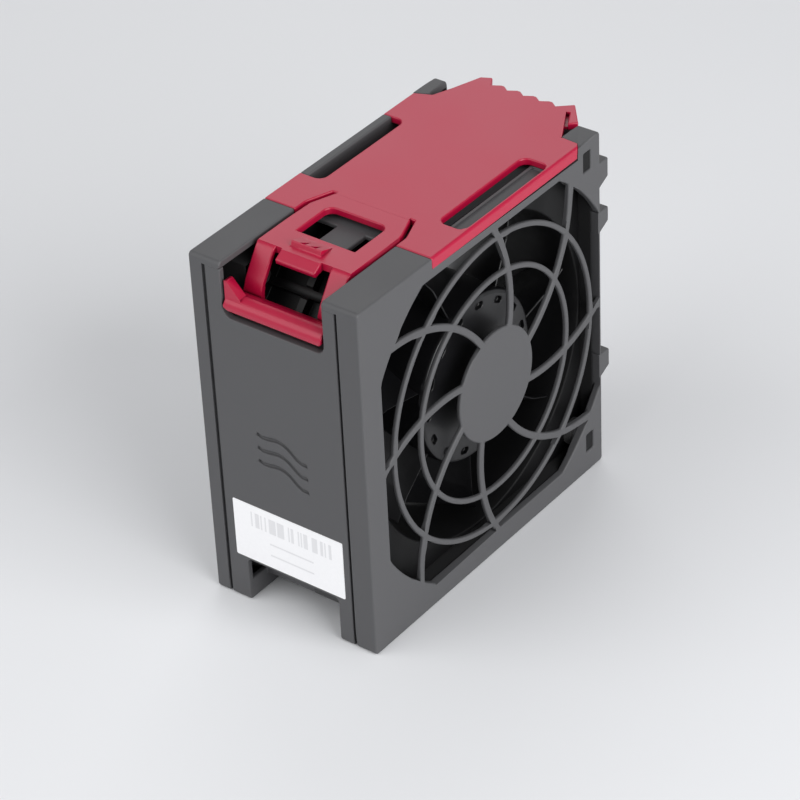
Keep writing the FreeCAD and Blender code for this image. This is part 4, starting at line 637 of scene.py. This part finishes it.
# %% [markdown]
# ## The pad on the tongue
# The tongue carries a small raised pad for the thumb. Its right end is drawn in by about 2 mm on the
# copy, before the edges are rounded: the end's corners are picked by their place and moved together,
# so its faces stay flat.

# %% Round the latch, with its pad drawn in
latch_low, latch_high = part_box("release_latch")
PAD_TOP, PAD_RISE = latch_high[2], 1.5 * MM
PAD_FRONT_Y, PAD_REAR_Y = -39.4 * MM, -34.4 * MM
PAD_END, PAD_DRAW = 5.0 * MM, 2.1 * MM
NEAR = 0.05 * MM


def draw_pad_in(piece):
    """Move the corners of the pad's right end towards its middle."""
    in_edit_mode(piece, lambda: bpy.ops.mesh.select_mode(type="VERT"),
                 lambda: bpy.ops.mesh.select_all(action="DESELECT"))
    for v in piece.data.vertices:
        v.select = (abs(v.co.x - PAD_END) < NEAR and v.co.z > PAD_TOP - PAD_RISE - NEAR
                    and PAD_FRONT_Y - NEAR < v.co.y < PAD_REAR_Y + NEAR)
    print("pad corners moved:", sum(v.select for v in piece.data.vertices))
    bpy.ops.object.mode_set(mode="EDIT")
    bpy.ops.transform.translate(value=(-PAD_DRAW, 0, 0))
    bpy.ops.object.mode_set(mode="OBJECT")


latch_piece = rounded("release_latch", 0.35, 3, "latch", reshape=draw_pad_in)

# %% [markdown]
# ## The web between cover and tongue
# Cover and tongue are one moulding on the real module, and the tongue bends where it leaves the cover. In
# the frame they are two parts with a gap of 0.3 mm, because a joint needs two bodies. A web fills the gap:
# a cube, with three cuts each way.

# %% Web between cover and tongue
PLATE_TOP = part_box("top_cover")[1][2]
HINGE_GAP = 0.3 * MM
BEND_Y = latch_high[1] + HINGE_GAP / 2
TONGUE_MIDDLE = (latch_low[0] + latch_high[0]) / 2
WEB_HALF, WEB_REACH, WEB_THICK, WEB_DROP = 11.3 * MM, 0.55 * MM, 1.0 * MM, 0.48 * MM

bpy.ops.object.select_all(action="DESELECT")
bpy.ops.mesh.primitive_cube_add(size=1.0, location=(TONGUE_MIDDLE, BEND_Y, PLATE_TOP - WEB_DROP))
web = bpy.context.view_layer.objects.active
web.name = "bending_web"
web.scale = (2 * WEB_HALF, 2 * WEB_REACH, WEB_THICK)
settle(web)
in_edit_mode(web, lambda: bpy.ops.mesh.subdivide(number_cuts=3))
give(web, cover_abs)
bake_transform(web)
print("web at y", round(BEND_Y / MM, 2), "mm")

# %% [markdown]
# ## Press marks in the pad
# Two small three-cornered pockets in the slope of the pad tell the thumb where to press. They reach
# a little below the tongue's top, so their floor lies in shadow. A pocket is cut with a tool: a
# cube, halved by a bisect along its diagonal. The cut runs just beside the cube's corners, because
# one straight through them leaves doubled points. A Boolean modifier takes the tool out of the
# rounded latch, and a fresh Weighted Normal keeps the faces round it flat. The tools are deleted
# afterwards.

# %% Two pockets in the slope
MARK_WIDTH, MARK_LENGTH, MARK_DEPTH = 1.8 * MM, 2.4 * MM, 0.4 * MM
MARK_Y, MARK_XS = -37.4 * MM, (-3.2 * MM, 0.1 * MM)


def pocket_tool(x):
    """A three-sided prism that reaches from a pocket's floor to above the pad."""
    bpy.ops.object.select_all(action="DESELECT")
    foot, top = PAD_TOP - PAD_RISE - MARK_DEPTH, PAD_TOP + 1.0 * MM
    bpy.ops.mesh.primitive_cube_add(size=1.0, location=(x, MARK_Y, (foot + top) / 2))
    tool = bpy.context.view_layer.objects.active
    tool.scale = (MARK_WIDTH, MARK_LENGTH, top - foot)
    settle(tool)
    in_edit_mode(tool, lambda: bpy.ops.mesh.bisect(plane_co=(x + NEAR, MARK_Y, top), use_fill=True,
                                                   clear_outer=True, threshold=1e-7,
                                                   plane_no=(-MARK_LENGTH, MARK_WIDTH, 0)),
                 lambda: bpy.ops.mesh.select_all(action="SELECT"),
                 lambda: bpy.ops.mesh.normals_make_consistent(inside=False))
    return tool


def cut_pocket(piece, tool):
    """Take a tool out of a piece and remove the tool."""
    cut = piece.modifiers.new("pocket", "BOOLEAN")
    cut.operation = "DIFFERENCE"
    cut.object = tool
    pick(piece)
    bpy.ops.object.modifier_apply(modifier=cut.name)
    bpy.data.objects.remove(tool)


before = len(latch_piece.data.polygons)
for x in MARK_XS:
    cut_pocket(latch_piece, pocket_tool(x))
even_faces(latch_piece)
print("faces added by two pockets:", len(latch_piece.data.polygons) - before)

# %% [markdown]
# ## The web under the grip's slit
# A narrow slit parts the small tab from the grip's teeth. On the real cover it isn't cut right
# through: a thin web of the same plastic lies under it. It is a flat cube turned along the slit, its
# edges bevelled, a little wider than the slit so that it joins both sides.

# %% Web under the slit
SLIT_START, SLIT_END = Vector((13.8, 51.2)) * MM, Vector((16.7, 46.3)) * MM
SLIT_TURN = math.atan2(SLIT_END.y - SLIT_START.y, SLIT_END.x - SLIT_START.x)
SLIT_WEB_WIDTH, SLIT_WEB_THICK, SLIT_WEB_DROP = 1.7 * MM, 0.8 * MM, 1.5 * MM
slit_middle = (SLIT_START + SLIT_END) / 2
bpy.ops.object.select_all(action="DESELECT")
bpy.ops.mesh.primitive_cube_add(size=1.0, rotation=(0, 0, SLIT_TURN),
                                location=(slit_middle.x, slit_middle.y, PLATE_TOP - SLIT_WEB_DROP))
slit_web = bpy.context.view_layer.objects.active
slit_web.name = "slit_web"
slit_web.scale = ((SLIT_END - SLIT_START).length, SLIT_WEB_WIDTH, SLIT_WEB_THICK)
settle(slit_web)
in_edit_mode(slit_web, lambda: bpy.ops.mesh.bevel(offset=0.1 * MM, segments=2, affect="EDGES"))
give(slit_web, cover_abs)
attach(slit_web, "casing")
print("slit web:", round((SLIT_END - SLIT_START).length / MM, 1), "mm long")

# %% [markdown]
# ## Foam gaskets round the fan
# A fan that draws its own air back round its frame loses pressure, so thin foam lines the chamber at both
# ends. Its near-black colour is painted shade on the chamber's walls. Each gasket is a loop: a cube
# stretched to the chamber, its two open ends deleted, and the skin that is left made 0.2 mm thick by
# Solidify. The loop lies against the chamber's walls, in the play of 0.3 mm round the fan.

# %% Two gaskets
fan_low, fan_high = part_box("fan_frame")
GASKET = 0.2 * MM
PLAY = 0.28 * MM


def gasket(name, start, end):
    """A square loop of foam round the chamber, between two places along X."""
    low = Vector((start, fan_low[1] - PLAY, fan_low[2] - PLAY))
    high = Vector((end, fan_high[1] + PLAY, fan_high[2] + PLAY))
    bpy.ops.object.select_all(action="DESELECT")
    bpy.ops.mesh.primitive_cube_add(size=1.0, location=(low + high) / 2)
    loop = bpy.context.view_layer.objects.active
    loop.name = name
    loop.scale = high - low
    settle(loop)
    in_edit_mode(loop, lambda: bpy.ops.mesh.select_mode(type="FACE"))
    for face in loop.data.polygons:
        face.select = abs(face.normal.x) > 0.9
    bpy.ops.object.mode_set(mode="EDIT")
    bpy.ops.mesh.delete(type="FACE")
    bpy.ops.object.mode_set(mode="OBJECT")
    wall = loop.modifiers.new("foam", "SOLIDIFY")
    wall.thickness = GASKET
    wall.offset = -1.0
    bpy.ops.object.modifier_apply(modifier=wall.name)
    # Painted shade: the near-black foam darkens the chamber's walls.
    give(loop, foam_painted_shade)
    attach(loop, "casing")
    return loop


intake_gasket = gasket("intake_gasket", fan_high[0] - 2.0 * MM, fan_high[0] + 3.5 * MM)
exhaust_gasket = gasket("exhaust_gasket", fan_low[0] - 6.3 * MM, fan_low[0] + 2.0 * MM)
print("gaskets:", [[round(c / MM, 1) for c in g.dimensions] for g in (intake_gasket, exhaust_gasket)])

# %% [markdown]
# ## Dark nubs in the snap windows
# Two small windows in the rim of the intake cover hold the ends of the rubber mounts. Each end is a nub
# that fills its window and stays a little below the face. The nubs take the near-black foam finish, which
# is painted shade in the windows. One cube is bevelled on all its edges, and the second nub is its copy,
# moved down.

# %% Two nubs, one mesh each
NUB_DEPTH, NUB_WIDTH, NUB_HEIGHT = 2.6 * MM, 3.24 * MM, 5.64 * MM
NUB_X, NUB_Y = cad_box[1][0] - 0.35 * MM - NUB_DEPTH / 2, 41.9 * MM
NUB_TOP, NUB_BOTTOM = fan_high[2] - 0.7 * MM, fan_low[2] + 2.9 * MM

bpy.ops.object.select_all(action="DESELECT")
bpy.ops.mesh.primitive_cube_add(size=1.0, location=(NUB_X, NUB_Y, NUB_TOP))
nub = bpy.context.view_layer.objects.active
nub.name = "upper_nub"
nub.scale = (NUB_DEPTH, NUB_WIDTH, NUB_HEIGHT)
settle(nub)
in_edit_mode(nub, lambda: bpy.ops.mesh.bevel(offset=0.25 * MM, segments=3, affect="EDGES"))
# Painted shade: the nubs are drawn in near-black foam, so the windows look dark.
give(nub, foam_painted_shade)
pick(nub)
bpy.ops.object.duplicate()
lower_nub = bpy.context.view_layer.objects.active
lower_nub.name = "lower_nub"
in_edit_mode(lower_nub, lambda: bpy.ops.transform.translate(value=(0, 0, NUB_BOTTOM - NUB_TOP)))
for piece in (nub, lower_nub):
    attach(piece, "casing")
print("nubs at heights", round(NUB_TOP / MM, 1), round(NUB_BOTTOM / MM, 1), "mm")

# %% [markdown]
# ## Floor and light
# The module stands on a pale floor under soft studio light: one large lamp from the upper left,
# one from the right for the grille side, two behind whose reflections give the top faces and the
# pad their sheen, and an even pale world. The lamps are large, so that glossy plastic shows broad
# soft highlights. Their power is chosen so that a surface facing the light shows about the colour
# that is written in its material.

# %% Floor
bpy.ops.object.select_all(action="DESELECT")
bpy.ops.mesh.primitive_plane_add(size=8.0, location=(0.0, 0.0, cad_box[0][2]))
floor = bpy.context.view_layer.objects.active
floor.name = "floor"
floor_paint = blank("floor_matt_paint")
floor_place = add(floor_paint, "TexCoord").outputs["Object"]
floor_mottle = add(floor_paint, "TexNoise", {"Vector": floor_place, "Scale": 4.0, "Detail": 2.0})
floor_mix = add(floor_paint, "Mix", {"Factor": floor_mottle.outputs["Fac"], "A": linear("#E3E4E7"),
                                     "B": linear("#E8E9EB")}, data_type="RGBA")
finish_with(floor_paint, add(floor_paint, "BsdfPrincipled", {"Base Color": floor_mix.outputs["Result"],
                                                             "Roughness": 0.7}))
give(floor, floor_paint)
print("floor at", cad_box[0][2])

# %% Lamps and world
CENTRE = Vector([(a + b) / 2 for a, b in zip(*cad_box)])


def lamp(name, place, size, power):
    """A square area lamp that looks at the module's middle."""
    light = bpy.data.lights.new(name, "AREA")
    light.energy = power
    light.size = size
    holder = bpy.data.objects.new(name, light)
    bpy.context.scene.collection.objects.link(holder)
    holder.location = place
    holder.rotation_euler = (Vector(place) - CENTRE).to_track_quat("Z", "Y").to_euler()
    return holder


lamp("key_lamp", (-0.45, -0.85, 0.80), 1.2, 8.0)
lamp("side_lamp", (1.00, -0.15, 0.50), 1.0, 13.2)
lamp("back_lamp", (-0.61, 0.77, 0.74), 0.8, 2.3)
lamp("low_back_lamp", (-0.62, 1.04, 0.22), 0.6, 0.6)

world = bpy.data.worlds.new("studio")
bpy.context.scene.world = world
world.use_nodes = True
world.node_tree.nodes["Background"].inputs["Color"].default_value = linear("#F2F3F5")
world.node_tree.nodes["Background"].inputs["Strength"].default_value = 0.35
bpy.context.scene.view_settings.view_transform = "Standard"

# %% [markdown]
# ## Camera
# A long lens from above, to the right of the front face. The camera looks along a direction given by
# an azimuth and an elevation, and is tilted a little about its own axis.

# %% Camera
AZIMUTH, ELEVATION, TILT = (math.radians(a) for a in (38.47, 34.93, -2.89))
back = Vector((math.cos(ELEVATION) * math.sin(AZIMUTH), -math.cos(ELEVATION) * math.cos(AZIMUTH),
               math.sin(ELEVATION)))
right = Vector((0, 0, 1)).cross(back).normalized()
up = back.cross(right)
tilted_right = right * math.cos(TILT) + up * math.sin(TILT)
tilted_up = up * math.cos(TILT) - right * math.sin(TILT)
AIM, DISTANCE = Vector((0.0, -7.4 * MM, 41.7 * MM)), 0.8616
place = AIM + back * DISTANCE

lens = bpy.data.cameras.new("camera")
lens.lens = 148.6
lens.sensor_width = 36.0
lens.clip_start = 0.01
camera = bpy.data.objects.new("camera", lens)
bpy.context.scene.collection.objects.link(camera)
turn = Matrix((tilted_right, tilted_up, back)).transposed().to_4x4()
camera.matrix_world = Matrix.Translation(place) @ turn
bpy.context.scene.camera = camera
print("camera at", [round(c, 3) for c in place])
